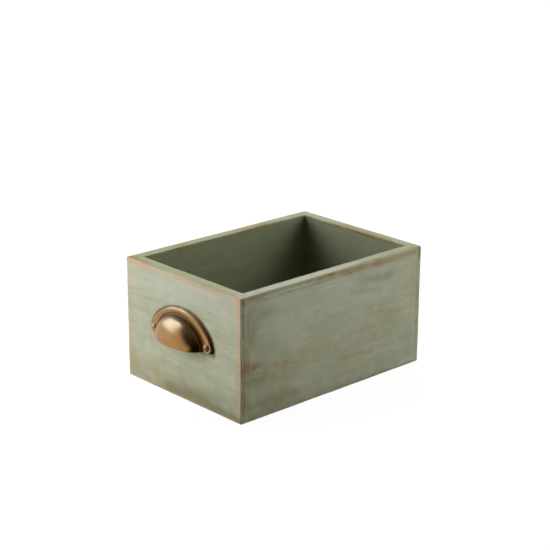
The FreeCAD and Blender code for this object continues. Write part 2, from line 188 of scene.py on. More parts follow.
room = bpy.data.worlds.new("room")
room.use_nodes = True
tree = room.node_tree
tree.nodes.clear()
dim = add_node(tree, "ShaderNodeBackground", {"Color": linear(WHITE), "Strength": ROOM_STRENGTH})
white = add_node(tree, "ShaderNodeBackground", {"Color": linear(WHITE), "Strength": 1.0})
mixed = add_node(tree, "ShaderNodeMixShader", {0: rays_that_see_white(tree), 1: dim, 2: white})
add_node(tree, "ShaderNodeOutputWorld", {"Surface": mixed})
bpy.context.scene.world = room
bpy.context.scene.view_settings.view_transform = "Standard"


def direction(azimuth, elevation):
    """Away from the middle of the studio. Azimuth 0 is in front of the drawer and 90 on its right."""
    azimuth, elevation = math.radians(azimuth), math.radians(elevation)
    level = math.cos(elevation)
    return Vector((math.sin(azimuth) * level, -math.cos(azimuth) * level, math.sin(elevation)))


def add_lamp(name, lamp, colour=WHITE):
    """A square soft lamp that faces the middle of the studio."""
    lamp_data = bpy.data.lights.new(name, "AREA")
    lamp_data.shape = "SQUARE"
    lamp_data.size = lamp["size"]
    lamp_data.energy = lamp["power"]
    lamp_data.color = linear(colour)[:3]
    lamp_object = bpy.data.objects.new(name, lamp_data)
    outward = direction(lamp["azimuth"], lamp["elevation"])
    lamp_object.location = STUDIO_CENTRE + outward * lamp["distance"]
    lamp_object.rotation_mode = "QUATERNION"
    lamp_object.rotation_quaternion = outward.to_track_quat("Z", "Y")
    bpy.context.scene.collection.objects.link(lamp_object)
    return lamp_object


for lamp_name, lamp in SOFT_LAMPS.items():
    add_lamp(lamp_name, lamp).visible_glossy = False
add_lamp("glint_lamp", GLINT_LAMP, GLINT_COLOUR).visible_diffuse = False

# A dark brown sheet that glows faintly by itself, hung without folds: a painted dark reflection, nearly black
# at its foot and paler towards the top, where its glow is painted as if more light reached it. It is what
# turns the brass dark on its right.
screen_material, tree = start_material("dark_glow_painted_reflection")
height = add_node(
    tree, "ShaderNodeSeparateXYZ", {0: add_node(tree, "ShaderNodeTexCoord").outputs["Object"]}
).outputs["Z"]
pale_and_painted_light = add_node(
    tree, "ShaderNodeMapRange", {"Value": height, "From Min": SCREEN_PAINTED_LIGHT_HEIGHTS[0], "From Max": SCREEN_PAINTED_LIGHT_HEIGHTS[1]}
)
colour = add_node(
    tree,
    "ShaderNodeMix",
    {0: pale_and_painted_light, 6: linear(SCREEN_GLOW_FOOT), 7: linear(SCREEN_GLOW_TOP)},
    data_type="RGBA",
).outputs[2]
reflection_glow = add_node(tree, "ShaderNodeEmission", {"Color": colour, "Strength": 1.0})
add_node(tree, "ShaderNodeOutputMaterial", {"Surface": reflection_glow})

lean = math.radians(SCREEN_LEAN)
screen_places = []
for along in range(SCREEN_STEPS + 1):
    swing = SCREEN_SWING * along / SCREEN_STEPS
    top = math.pi / 2 + lean * math.sin(math.radians(swing))
    for up_step in range(SCREEN_STEPS + 1):
        climb = top * up_step / SCREEN_STEPS
        slant = SCREEN_SLANT * min(math.degrees(climb), SCREEN_SLANT_CLIMB) * (1 - along / SCREEN_STEPS)
        level = direction(SCREEN_TURN + swing - slant, 0)
        place = level * math.cos(climb) + Vector((0, 0, math.sin(climb)))
        screen_places.append(place * SCREEN_RADIUS + Vector((0, 0, SCREEN_LIFT)))
    screen_places.append(direction(SCREEN_TURN + swing, 0) * MAT_MIDDLE_RADIUS + MAT_MIDDLE)
screen_faces = []
row = SCREEN_STEPS + 2
for along in range(SCREEN_STEPS):
    first = along * row
    for up_step in range(SCREEN_STEPS):
        corner = first + up_step
        screen_faces.append((corner, corner + row, corner + row + 1, corner + 1))
    if SCREEN_SWING * along / SCREEN_STEPS >= MAT_SWING:
        screen_faces.append((first + row - 1, first + 2 * row - 1, first + row, first))
screen_mesh = bpy.data.meshes.new("screen")
screen_mesh.from_pydata(screen_places, [], screen_faces)
screen_mesh.materials.append(screen_material)
screen = bpy.data.objects.new("screen", screen_mesh)
# The eye, diffuse light and shadows pass the screen by, so it shows only as a painted reflection.
screen.visible_camera = False
screen.visible_diffuse = False
screen.visible_shadow = False
bpy.context.scene.collection.objects.link(screen)


# Boards. Four pine boards, planed to 10 and 11 mm, grooved for the panel and butted at the corners, then
# brushed with sage-green chalk paint over a rust-brown undercoat. The edges are rubbed through by hand, and
# brown wax stays in the worn places. The paint also carries painted light and shade: paler below the tops,
# darker towards the feet and inside the drawer, and a painted shadow round the pull.

EDGE_RADIUS = 1.1
EDGE_UNEVENNESS = 0.35
EDGE_WAVE = 17
NICK_DEPTH = 1.2
NICK_SIZE = 5
NICK_RARITY = 0.45
SEAM_WIDTH = 0.35
SEAM_DEPTH = 0.1
SEAM_END = 2
FILLED_HOLE_RADIUS = 1.5
FILLED_HOLE_DEPTH = 0.12
GROOVE = {"low": 8.0, "high": 12.2, "depth": 4.5}
SHARP_ANGLE = math.radians(38)

# Each board's mesh is a lattice. Its lines lie this far in from an outer edge, an inner edge and a seam, and
# are evenly spaced between. A place nearer than ON_FACE to a face lies on it.
LINES_BY_EDGE = [0, 0.2, 0.4, 0.6, 0.8, 1.0, 1.2, 1.5, 2.0, 2.6, 3.2, 4.0, 4.8, 5.6, 6.6]
LINES_BY_INNER_EDGE = LINES_BY_EDGE[:9]
LINES_BY_SEAM = [0, 0.12, 0.35, 0.8]
LINE_SPACING = 1.3
LEAST_SPACING = 0.25
ON_FACE = 1e-6
NOT_ZERO = 1e-9

outer_low = np.array(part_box("front_board")[0]) / MM
outer_high = np.array(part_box("back_board")[1]) / MM
opening_low = np.array([
    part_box("left_side_board")[1].x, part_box("left_side_board")[0].y
]) / MM
opening_high = np.array([
    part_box("right_side_board")[0].x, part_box("right_side_board")[1].y
]) / MM
top_level = outer_high[2]

# Bands of wear along the edges: the face they lie on, the edge they follow, how far their middle is from it,
# their half width, their colour, how strong they are, and how much they come and go. The broad pale bands
# below the tops are painted light, the broad grime bands at the feet and along the sides' front are painted
# shade, and the narrow wax bands along the sides' front edge and foot are wax and painted shade.
BANDS = [
    # Painted light below the top and painted shade at the foot.
    ("front", "top", 10, 20, "pale_and_painted_light", 0.6, 0.4),
    ("front", "bottom", 0, 20, "grime_and_painted_shade", 0.42, 0.6),
    ("front", "top", 1.8, 2.6, "tan", 0.46, 0.6),
    ("front", "bottom", 0.9, 1.6, "tan", 0.45, 0.6),
    ("rim", "front", 1.6, 2.8, "ochre", 0.5, 0.6),
    ("rim", "front", 7.0, 3.4, "sage", 0.55, 0.4),
    ("rim", "front", 0.6, 1.0, "tan", 0.4, 0.6),
    ("rim", "sides", 0.6, 1.0, "ochre", 0.34, 0.6),
    ("rim", "sides", 0.2, 2.2, "sage", 0.4, 0.4),
    ("rim", "opening", 0.5, 1.5, "ochre", 0.2, 0.9),
    ("rim", "opening", 0.3, 1.6, "wax_and_painted_shade", 0.34, 0.7),
    ("inside", "top", 0.5, 1.3, "wax_and_painted_shade", 0.78, 0.5),
    # Painted light below the top, painted shade at the foot and towards the front.
    ("side", "top", 16, 18, "pale_and_painted_light", 0.5, 0.4),
    ("side", "bottom", 0, 24, "grime_and_painted_shade", 0.32, 0.6),
    ("side", "front", 14, 24, "grime_and_painted_shade", 0.34, 0.6),
    ("side", "top", 2.6, 2.8, "ochre", 0.42, 0.6),
    ("side", "front", 0.3, 0.7, "tan", 0.6, 0.5),
    # Wax and painted shade along the front edge.
    ("side", "front", 2.7, 1.9, "wax_and_painted_shade", 0.6, 0.4),
    ("side", "front", 7.6, 3.6, "grime_and_painted_shade", 0.46, 0.5),
    ("side", "back", 2.8, 2.0, "wax_and_painted_shade", 0.2, 0.6),
    ("side", "back", 3.2, 2.6, "ochre", 0.3, 0.8),
    # Wax and painted shade along the foot.
    ("side", "bottom", 1.8, 1.4, "wax_and_painted_shade", 0.36, 0.8),
    ("back", "top", 2.4, 2.4, "ochre", 0.55, 0.7),
    ("back", "top", 1.4, 0.8, "wax_and_painted_shade", 0.4, 1.0),
    ("back", "sides", 1.8, 1.9, "rust", 0.5, 0.8),
    ("back", "bottom", 1.2, 1.4, "tan", 0.35, 1.0),
    # Painted light below the top and painted shade at the foot.
    ("back", "top", 16, 18, "pale_and_painted_light", 0.5, 0.4),
    ("back", "bottom", 0, 22, "grime_and_painted_shade", 0.36, 0.6),
]

# Smudges where a face is rubbed, waxed or dirty, or where light and shade are painted on it: the points they
# run through, along the face from its left edge as seen and up from its foot, then their half width, their
# colour, and how strong they are. On the rim and inside the back board the first number runs from the left
# side to the right, and on the rim the second runs back from the front. Pale ones are paint rubbed thin and
# painted light, and grime ones are dirt and painted shade. The two long ones on the front lie round the pull,
# as its painted shadow on the board.
SMUDGES = {
    "right": [
        ((6, 101.0), (100, 101.2), 0.9, "wax_and_painted_shade", 0.42),
        ((3, 98.5), (22, 98.5), 3.0, "wax_and_painted_shade", 0.3),
        ((24, 96.6), (118, 97.0), 0.9, "wax_and_painted_shade", 0.5),
        ((52, 100.8), (128, 100.6), 1.6, "rust", 0.28),
        ((80, 99.6), (128, 99.2), 2.4, "ochre", 0.3),
        ((60, 74), (150, 70), 8.0, "pale_and_painted_light", 0.24),
        ((158, 17), (190, 14), 12.0, "pale_and_painted_light", 0.3),
        ((112, 98.6), (150, 98.6), 3.6, "ochre", 0.38),
        ((116, 98.4), (150, 98.4), 3.6, "grime_and_painted_shade", 0.2),
        ((126, 99.2), (162, 98.8), 2.6, "wax_and_painted_shade", 0.22),
        ((150, 98.6), (192, 98.6), 3.4, "ochre", 0.4),
        ((186, 94), (192, 66), 9.0, "grime_and_painted_shade", 0.22),
        ((166, 88), (192, 86), 12.0, "sage", 0.3),
        ((2, 10), (5, 60), 4.5, "rust", 0.42),
        ((6, 46), (40, 39), 4.2, "rust", 0.36),
        ((3, 40), (14, 43), 6.5, "rust", 0.32),
        ((34, 41), (62, 37), 2.6, "wax_and_painted_shade", 0.22),
        ((6, 24), (44, 21), 10.0, "ochre", 0.3),
        ((18, 39), (44, 36), 6.0, "ochre", 0.36),
        ((10, 64), (12, 90), 8.0, "ochre", 0.36),
        ((9, 66), (10, 88), 6.0, "grime_and_painted_shade", 0.2),
        ((14, 32), (52, 31), 8.0, "grime_and_painted_shade", 0.24),
        ((8, 14), (54, 11), 9.0, "grime_and_painted_shade", 0.36),
        ((124, 90), (172, 84), 8.0, "grime_and_painted_shade", 0.26),
        ((190, 68), (194, 90), 6.0, "ochre", 0.34),
        ((130, 86), (160, 85), 5.0, "grime_and_painted_shade", 0.24),
        ((48, 41), (100, 38), 8.0, "ochre", 0.46),
        ((104, 27), (143, 24), 3.4, "ochre", 0.5),
        ((140, 60), (170, 50), 8.0, "ochre", 0.4),
        ((150, 56), (166, 54), 3.0, "rust", 0.3),
        ((134, 44), (164, 38), 8.0, "ochre", 0.28),
        ((100, 4), (128, 3), 4.0, "rust", 0.34),
        ((10, 4), (78, 4), 7.0, "ochre", 0.42),
        ((20, 86), (66, 82), 5.0, "grime_and_painted_shade", 0.22),
        ((118, 80), (152, 75), 3.6, "grime_and_painted_shade", 0.34),
        ((60, 88), (118, 84), 2.4, "grime_and_painted_shade", 0.2),
        ((197, 24), (196, 72), 2.6, "ochre", 0.3),
        ((180, 2), (198, 3), 5.0, "pale_and_painted_light", 0.85),
        ((198, 94), (198, 101), 2.6, "wax_and_painted_shade", 0.5),
    ],
    "front": [
        ((138.3, 50), (137.6, 100), 2.8, "tan", 0.72),
        ((138.0, 16), (138.2, 50), 2.4, "tan", 0.42),
        ((137.0, 6), (137.2, 48), 4.2, "ochre", 0.42),
        ((3.5, 4), (4, 99), 4.0, "tan", 0.4),
        ((3.5, 4), (6, 24), 6.0, "ochre", 0.42),
        ((2, 100), (26, 100), 2.4, "tan", 0.3),
        ((4, 92), (16, 94), 5.0, "ochre", 0.36),
        ((62, 101), (112, 100.5), 2.0, "tan", 0.25),
        ((122, 95), (134, 90), 6.0, "ochre", 0.3),
        ((4, 15), (50, 12), 7.0, "ochre", 0.32),
        ((10, 16), (44, 17), 3.0, "tan", 0.25),
        ((62, 13), (96, 15), 5.0, "tan", 0.28),
        ((56, 4), (94, 5), 11.0, "grime_and_painted_shade", 0.52),
        ((40, 25), (78, 23), 7.0, "ochre", 0.34),
        ((20, 97.5), (42, 97.5), 4.0, "grime_and_painted_shade", 0.26),
        ((26, 2), (50, 2), 5.0, "ochre", 0.5),
        ((94, 1.5), (137, 1.5), 4.5, "grime_and_painted_shade", 0.6),
        ((66, 3), (104, 3), 6.0, "ochre", 0.4),
        ((116, 16), (136, 18), 9.0, "grime_and_painted_shade", 0.22),
        # Painted shadow of the pull on the board: a grime ring round its outline, and a dark painted contact
        # shadow close along its top and right.
        (
            (35.6, 48.6), (31.8, 53), (33.2, 57), (38.2, 64), (45, 69.5), (52.8, 73.6), (61.2, 76.1),
            (70, 77), (78.8, 76.1), (87.2, 73.6), (95, 69.5), (101.8, 64), (106.8, 57), (108.2, 53),
            (106, 48.8), 2.6, "grime_and_painted_shade", 0.5,
        ),
        (
            (75, 75.8), (81, 76.2), (87.5, 74.7), (91.8, 72.8), (95.7, 70.5), (99.3, 67.8),
            (102.6, 64.8), (105.6, 61.4), (107.8, 57.4), (109.2, 53.1), (108.6, 49.4), 1.9, "painted_contact_shadow", 1.0,
        ),
        # Painted shadow under the pull's two feet.
        ((94, 47), (109, 47), 1.8, "grime_and_painted_shade", 0.6),
        ((30, 46), (31, 38), 3.5, "grime_and_painted_shade", 0.3),
    ],
    "left": [
        ((20, 99), (96, 99), 2.4, "rust", 0.4),
        ((14, 101), (150, 101), 0.9, "wax_and_painted_shade", 0.4),
        ((110, 98.6), (186, 98.6), 3.0, "ochre", 0.4),
        ((50, 52), (104, 44), 8.0, "ochre", 0.34),
        ((66, 50), (90, 46), 4.0, "rust", 0.3),
        ((140, 28), (186, 34), 7.0, "ochre", 0.4),
        ((168, 9), (197, 6), 7.0, "ochre", 0.42),
        ((195, 8), (197, 52), 4.0, "rust", 0.36),
        ((172, 46), (194, 50), 4.6, "rust", 0.26),
        ((8, 70), (48, 74), 6.0, "ochre", 0.34),
        ((3, 30), (4, 96), 3.6, "ochre", 0.36),
        ((4, 5), (44, 4), 6.0, "ochre", 0.42),
        ((96, 13), (140, 8), 7.0, "ochre", 0.36),
        ((108, 10), (130, 8), 3.6, "rust", 0.28),
        ((150, 75), (186, 79), 5.0, "grime_and_painted_shade", 0.26),
        ((40, 84), (110, 80), 4.2, "grime_and_painted_shade", 0.3),
        ((70, 30), (110, 34), 10.0, "sage", 0.3),
    ],
    "back": [
        ((6, 64), (52, 57), 8.0, "ochre", 0.34),
        ((20, 62), (40, 59), 4.0, "rust", 0.28),
        ((70, 30), (124, 23), 6.0, "ochre", 0.4),
        ((90, 27), (110, 25), 3.2, "rust", 0.26),
        ((50, 86), (96, 84), 4.2, "grime_and_painted_shade", 0.3),
        ((92, 71), (120, 65), 5.0, "ochre", 0.34),
        ((3, 6), (4, 44), 4.0, "rust", 0.34),
        ((4, 5), (46, 3), 6.0, "ochre", 0.42),
        ((134, 54), (136, 98), 4.0, "ochre", 0.42),
        ((96, 99), (138, 99), 3.0, "ochre", 0.4),
        ((20, 24), (60, 30), 10.0, "sage", 0.3),
    ],
    "rim": [
        ((135.5, 4), (135.5, 124), 5.0, "pale_and_painted_light", 0.82),
        ((136, 158), (136, 196), 5.0, "sage", 0.5),
        ((134, 132), (134, 158), 5.0, "pale_and_painted_light", 0.4),
        ((138, 120), (138, 170), 2.4, "ochre", 0.4),
        ((6, 2), (6, 50), 4.0, "ochre", 0.4),
        ((4, 16), (4, 150), 5.0, "sage", 0.42),
        ((6.5, 50), (7, 150), 4.0, "ochre", 0.42),
        ((6, 120), (5, 190), 4.5, "ochre", 0.32),
        ((9, 134), (9, 166), 1.8, "wax_and_painted_shade", 0.4),
        ((90, 7.5), (134, 7.5), 3.0, "pale_and_painted_light", 0.5),
        ((2, 2), (24, 3), 3.4, "ochre", 0.4),
        ((8, 196), (130, 196), 5.0, "sage", 0.4),
        ((42, 192), (112, 192), 3.6, "ochre", 0.6),
        ((54, 194), (84, 194), 5.0, "rust", 0.34),
    ],
    "inside_back": [
        ((28, 101.2), (118, 101.2), 2.6, "rust", 0.5),
        ((50, 101.2), (116, 101.2), 2.8, "ochre", 0.7),
    ],
}


def lattice_lines(low, high, low_steps, high_steps, extra=()):
    """Lattice lines from low to high: close at both ends, evenly spaced between, and one at each of extra."""
    start = low + low_steps[-1]
    stop = high - high_steps[-1]
    between = np.linspace(start, stop, max(2, round((stop - start) / LINE_SPACING) + 1))[1:-1]
    clear = [line for line in between if all(abs(line - wanted) > LINE_SPACING / 3 for wanted in extra)]
    ends = [low + step for step in low_steps] + [high - step for step in high_steps]
    return np.array(sorted(ends + clear + list(extra)))


def lattice_skin(lines, solid):
    """The closed surface round the solid cells of an uneven lattice, as places and four-sided faces."""
    counts = [len(line) for line in lines]
    padded = np.pad(solid, 1).astype(int)
    quads = []
    for axis in range(3):
        second, third = (axis + 1) % 3, (axis + 2) % 3
        change = np.diff(padded, axis=axis)
        for sign in (1, -1):
            cells = np.argwhere(change == -sign)
            cells[:, second] -= 1
            cells[:, third] -= 1
            corners = []
            for second_step, third_step in ((0, 0), (1, 0), (1, 1), (0, 1))[::sign]:
                corner = cells.copy()
                corner[:, second] += second_step
                corner[:, third] += third_step
                corners.append(np.ravel_multi_index(corner.T, counts))
            quads.append(np.stack(corners, axis=1))
    quads = np.concatenate(quads)
    used, faces = np.unique(quads, return_inverse=True)
    indices = np.unravel_index(used, counts)
    places = np.stack([line[index] for line, index in zip(lines, indices)], axis=1)
    return places, faces.reshape(-1, 4)


def noise_at(places, size, shift):
    """Smooth noise from -1 to 1 whose lumps are about size across. shift leads to another part of it."""
    return np.array([noise.noise(place) for place in (places + shift) / size])


def round_corner(first, second, radius):
    """Two distances from the faces of a square edge, moved onto a rounding of that radius."""
    first_depth = np.clip(radius - first, 0, None)
    second_depth = np.clip(radius - second, 0, None)
    reach = np.maximum(first_depth, second_depth)
    length = np.maximum(np.hypot(first_depth, second_depth), NOT_ZERO)
    inside = (first_depth > 0) & (second_depth > 0)
    scale = np.where(inside, reach / length, 1)
    first = np.where(inside, radius - first_depth * scale, first)
    second = np.where(inside, radius - second_depth * scale, second)
    return first, second


brad_places = []
for node in sorted(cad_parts):
    if "_brad_" in node:
        brad_low, brad_high = (np.array(corner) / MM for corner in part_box(node))
        middle = (brad_low + brad_high) / 2
        at_front = middle[1] < 0
        brad_places.append((middle[0], brad_low[1] if at_front else brad_high[1], middle[2], at_front))


def soften_edges(places, wall):
    """Round the carcass's outer edges and rim by an uneven amount, and sink its seams and filled holes."""
    radius = EDGE_RADIUS * (1 + EDGE_UNEVENNESS * noise_at(places, EDGE_WAVE, 40))
    radius += NICK_DEPTH * np.clip(noise_at(places, NICK_SIZE, 90) - NICK_RARITY, 0, 1)
    radius = radius[:, None]
    core = np.clip(places, outer_low + radius, outer_high - radius)
    offset = places - core
    reach = np.abs(offset).max(axis=1, keepdims=True)
    length = np.maximum(np.linalg.norm(offset, axis=1, keepdims=True), NOT_ZERO)
    rounded = core + offset * reach / length

    plan = places[:, :2]
    away = plan - np.clip(plan, opening_low, opening_high)
    into_wood = away + ON_FACE * np.array(wall)
    distance = np.linalg.norm(away, axis=1)
    into_wood /= np.linalg.norm(into_wood, axis=1, keepdims=True)
    depth = top_level - places[:, 2]
    new_distance, new_depth = round_corner(distance, depth, radius[:, 0])
    rounded[:, :2] += into_wood * (new_distance - distance)[:, None]
    rounded[:, 2] -= new_depth - depth

    from_side = outer_high[0] - np.abs(places[:, 0])
    for seam in (opening_low[1], opening_high[1]):
        sink = SEAM_DEPTH * np.clip(1 - np.abs(places[:, 1] - seam) / SEAM_WIDTH, 0, 1)
        on_side = (from_side < ON_FACE) & (places[:, 2] < top_level - SEAM_END)
        rounded[:, 0] -= np.sign(places[:, 0]) * np.where(on_side, sink, 0)
        on_top = (depth < ON_FACE) & (distance > SEAM_END) & (from_side > SEAM_END)
        rounded[:, 2] -= np.where(on_top, sink, 0)

    for x, y, z, at_front in brad_places:
        reach = np.hypot(places[:, 0] - x, places[:, 2] - z) / FILLED_HOLE_RADIUS
        sink = FILLED_HOLE_DEPTH * np.clip(1 - reach**2, 0, 1)
        on_face = np.abs(places[:, 1] - y) < ON_FACE
        rounded[:, 1] += np.where(on_face, sink, 0) * (1 if at_front else -1)
    return rounded


# Colours that the worn paint turns to, how far they cover it, and how much the brush streaks break them up.
# They are paint rubbed thin together with painted light, paint gone over again, dirt from hands together with
# painted shade, undercoat showing through, bare wood, bare undercoat, old wax together with painted shade,
# and a painted contact shadow round the pull.
WEAR_AND_PAINTED_LIGHT = {
    "pale_and_painted_light": ("#C6C8B6", 0.85, 0.3),
    "sage": ("#A4AE76", 0.85, 0.35),
    "grime_and_painted_shade": ("#7F7F5E", 0.85, 0.35),
    "ochre": ("#A58A58", 0.75, 0.5),
    "tan": ("#CFA780", 0.85, 0.8),
    "rust": ("#8F6C45", 0.8, 0.55),
    "wax_and_painted_shade": ("#65502F", 0.8, 0.6),
    "painted_contact_shadow": ("#57492E", 0.85, 0.1),
}
BROAD_WEAR = {"size": 24, "strength": 0.9}
PATCHY_WEAR = {"size": 7, "strength": 0.6}
BAND_WANDER = {"share": 0.25, "most": 0.6}
BAND_LIMITS = (0.05, 1.5)
SMUDGE_PATCHINESS = 0.35
INSIDE_STARTS = {"depth": 0.4, "fade": 1.6}


def wear_and_painted_light_amounts(places):
    """How far each place is turned to each of the worn colours, painted light and shade among them, and
    whether it lies inside.
    """
    x, y, z = places.T
    plan = places[:, :2]
    to_opening = np.linalg.norm(plan - np.clip(plan, opening_low, opening_high), axis=1)
    edges = {
        "top": top_level - z,
        "bottom": z,
        "front": y - outer_low[1],
        "back": outer_high[1] - y,
        "sides": outer_high[0] - np.abs(x),
        "opening": to_opening,
    }
    inside = (to_opening < ON_FACE) & (edges["top"] > ON_FACE)
    faces = {
        "front": edges["front"] < ON_FACE,
        "back": edges["back"] < ON_FACE,
        "side": edges["sides"] < ON_FACE,
        "rim": edges["top"] < ON_FACE,
        "inside": inside,
    }
    broad = noise_at(places, BROAD_WEAR["size"], 10)
    patchy = noise_at(places, PATCHY_WEAR["size"], 60)
    rub = BROAD_WEAR["strength"] * broad + PATCHY_WEAR["strength"] * patchy
    amounts = {kind: np.zeros(len(places)) for kind in WEAR_AND_PAINTED_LIGHT}
    for face, edge, middle, half_width, kind, strength, change in BANDS:
        wander = min(BAND_WANDER["share"] * half_width, BAND_WANDER["most"]) * (broad + patchy)
        band = np.exp(-(((edges[edge] + wander - middle) / half_width) ** 2))
        band = band * strength * np.clip(1 + change * rub, *BAND_LIMITS)
        amounts[kind] = np.maximum(amounts[kind], np.where(faces[face], band, 0))

    from_left, from_front = x - outer_low[0], y - outer_low[1]
    spots = {
        "right": (from_front, z, x > outer_high[0] - ON_FACE),
        "left": (outer_high[1] - y, z, from_left < ON_FACE),
        "front": (from_left, z, faces["front"]),
        "back": (outer_high[0] - x, z, faces["back"]),
        "rim": (from_left, from_front, faces["rim"]),
        "inside_back": (from_left, z, inside & (y > opening_high[1] - ON_FACE)),
    }
    for face, smudges in SMUDGES.items():
        across, upward, on_face = spots[face]
        spot = np.stack([across, upward], axis=1)
        for *path, half_width, kind, strength in smudges:
            gap = np.full(len(places), np.inf)
            for start, stop in zip(path, path[1:]):
                start, stop = np.array(start), np.array(stop)
                run = stop - start
                share = np.clip((spot - start) @ run / (run @ run), 0, 1)
                gap = np.minimum(gap, np.linalg.norm(spot - start - share[:, None] * run, axis=1))
            smudge = strength * np.exp(-((gap / half_width) ** 2)) * (1 + SMUDGE_PATCHINESS * patchy)
            amounts[kind] += np.where(on_face, smudge, 0)
    below_rim = np.clip((edges["top"] - INSIDE_STARTS["depth"]) / INSIDE_STARTS["fade"], 0, 1)
    amounts["inside"] = np.where(inside, below_rim, 0)
    return amounts


def add_piece(name, places, faces, material):
    """An object from places in millimetres and its faces, smooth except at sharp corners."""
    mesh = bpy.data.meshes.new(name)
    mesh.from_pydata((np.asarray(places) * MM).tolist(), [], [list(face) for face in faces])
    mesh.materials.append(material)
    mesh.shade_smooth()
    mesh.set_sharp_from_angle(angle=SHARP_ANGLE)
    piece = bpy.data.objects.new(name, mesh)
    bpy.context.scene.collection.objects.link(piece)
    return piece


PAINT = "#B3B59A"
PAINT_LIGHT = "#C1C3A9"
PAINT_DARK = "#A3A688"
PAINT_GREEN = "#A6B298"
# The inside's paint is darker than the outside's, as painted shade inside the drawer.
PAINT_INSIDE_SHADED = "#8B9073"
PAINT_INSIDE_SHADED_DARK = "#7E8366"
BRUSH_WAVES = {"length": 34, "swing": 5}

# The brush's marks: how wide and how long they are. Real bristles' marks are finer than the fibres, which are
# drawn as coarse as they need to be to show.
BRUSH_MARKS = {"streaks": (1.3, 26), "bands": (5, 70), "fibres": (0.5, 8)}

# Lumps of colour that have nothing to do with the brush: how wide they are and how detailed.
PAINT_LUMPS = {"clouds": (30, 2.0), "mottle": (11, 3.0)}

# How much each pattern has to do with the paint being light or dark. Together they come to 1.
PAINT_WEIGHTS = {"streaks": 0.3, "bands": 0.3, "fibres": 0.12, "mottle": 0.28}


def make_paint(name, along):
    """Chalk paint brushed on along one axis, on pine: it is dull and powdery, so it hardly mirrors, with
    faint wavy brush streaks in its colour and relief. It turns browner where it is worn through or waxed,
    paler or darker where light and shade are painted on, and darker inside the drawer, as painted shade."""
    material, tree = start_material(name)
    place = add_node(tree, "ShaderNodeTexCoord").outputs["Object"]
    waves = add_node(
        tree,
        "ShaderNodeTexNoise",
        {"Vector": place, "Scale": 1 / (BRUSH_WAVES["length"] * MM), "Detail": 2.0, "Roughness": 0.55},
    )
    wavy = add_node(
        tree,
        "ShaderNodeVectorMath",
        {0: waves.outputs["Color"], 1: [BRUSH_WAVES["swing"] * MM] * 3, 2: place},
        operation="MULTIPLY_ADD",
    )
    patterns = {}
    for pattern, (across, length) in BRUSH_MARKS.items():
        scale = [1 / (across * MM)] * 3
        scale[along] = 1 / (length * MM)
        stretched = add_node(tree, "ShaderNodeMapping", {"Vector": wavy, "Scale": scale})
        patterns[pattern] = add_node(
            tree, "ShaderNodeTexNoise", {"Vector": stretched, "Scale": 1.0, "Detail": 3.0, "Roughness": 0.55}
        )
    for pattern, (size, detail) in PAINT_LUMPS.items():
        patterns[pattern] = add_node(
            tree,
            "ShaderNodeTexNoise",
            {"Vector": place, "Scale": 1 / (size * MM), "Detail": detail, "Roughness": 0.55},
        )
    tone = 0.0
    for pattern, weight in PAINT_WEIGHTS.items():
        tone = add_node(
            tree, "ShaderNodeMath", {0: patterns[pattern], 1: weight, 2: tone}, operation="MULTIPLY_ADD"
        )
    ramp = add_node(tree, "ShaderNodeValToRGB", {0: tone})
    ramp.color_ramp.elements[0].position = 0.37
    ramp.color_ramp.elements[0].color = linear(PAINT_DARK)
    ramp.color_ramp.elements[1].position = 0.63
    ramp.color_ramp.elements[1].color = linear(PAINT_LIGHT)
    ramp.color_ramp.elements.new(0.5).color = linear(PAINT)
    green = add_node(
        tree,
        "ShaderNodeMapRange",
        {"Value": patterns["clouds"], "From Min": 0.5, "From Max": 0.8, "To Max": 0.6},
    )
    outer = add_node(tree, "ShaderNodeMix", {0: green, 6: ramp, 7: linear(PAINT_GREEN)}, data_type="RGBA")
    # Inside the drawer the paint turns to the darker inside colours: painted shade.
    inner_tone = add_node(tree, "ShaderNodeMapRange", {"Value": tone, "From Min": 0.35, "From Max": 0.65})
    inner = add_node(
        tree,
        "ShaderNodeMix",
        {0: inner_tone, 6: linear(PAINT_INSIDE_SHADED_DARK), 7: linear(PAINT_INSIDE_SHADED)},
        data_type="RGBA",
    )
    inside = add_node(tree, "ShaderNodeAttribute", attribute_name="inside")
    colour = add_node(
        tree,
        "ShaderNodeMix",
        {0: inside.outputs["Fac"], 6: outer.outputs[2], 7: inner.outputs[2]},
        data_type="RGBA",
    ).outputs[2]
    grit = -0.95
    for pattern, weight in (("streaks", 1.2), ("fibres", 0.7)):
        grit = add_node(
            tree, "ShaderNodeMath", {0: patterns[pattern], 1: weight, 2: grit}, operation="MULTIPLY_ADD"
        )
    for kind, (shade, cover, broken) in WEAR_AND_PAINTED_LIGHT.items():
        amount = add_node(tree, "ShaderNodeAttribute", attribute_name=kind)
        level = add_node(
            tree, "ShaderNodeMath", {0: grit, 1: broken, 2: amount.outputs["Fac"]}, operation="MULTIPLY_ADD"
        )
        covered = add_node(
            tree,
            "ShaderNodeMapRange",
            {"Value": level, "From Min": 0.05, "From Max": 1.0, "To Max": cover},
            interpolation_type="SMOOTHSTEP",
        )
        colour = add_node(
            tree, "ShaderNodeMix", {0: covered, 6: colour, 7: linear(shade)}, data_type="RGBA"
        ).outputs[2]
    relief = add_node(
        tree, "ShaderNodeMath", {0: patterns["streaks"], 1: patterns["fibres"]}, operation="ADD"
    )
    bump = add_node(
        tree, "ShaderNodeBump", {"Height": relief, "Strength": 0.18, "Distance": 0.1 * MM}
    )
    shader = add_node(
        tree,
        "ShaderNodeBsdfPrincipled",
        {"Base Color": colour, "Roughness": 0.7, "Specular IOR Level": 0.2, "Normal": bump},
    )
    add_node(tree, "ShaderNodeOutputMaterial", {"Surface": shader})
    return material


X_AXIS, Y_AXIS, Z_AXIS = range(3)
paint_across = make_paint("chalk_paint_brushed_across", X_AXIS)
paint_along = make_paint("chalk_paint_brushed_along", Y_AXIS)


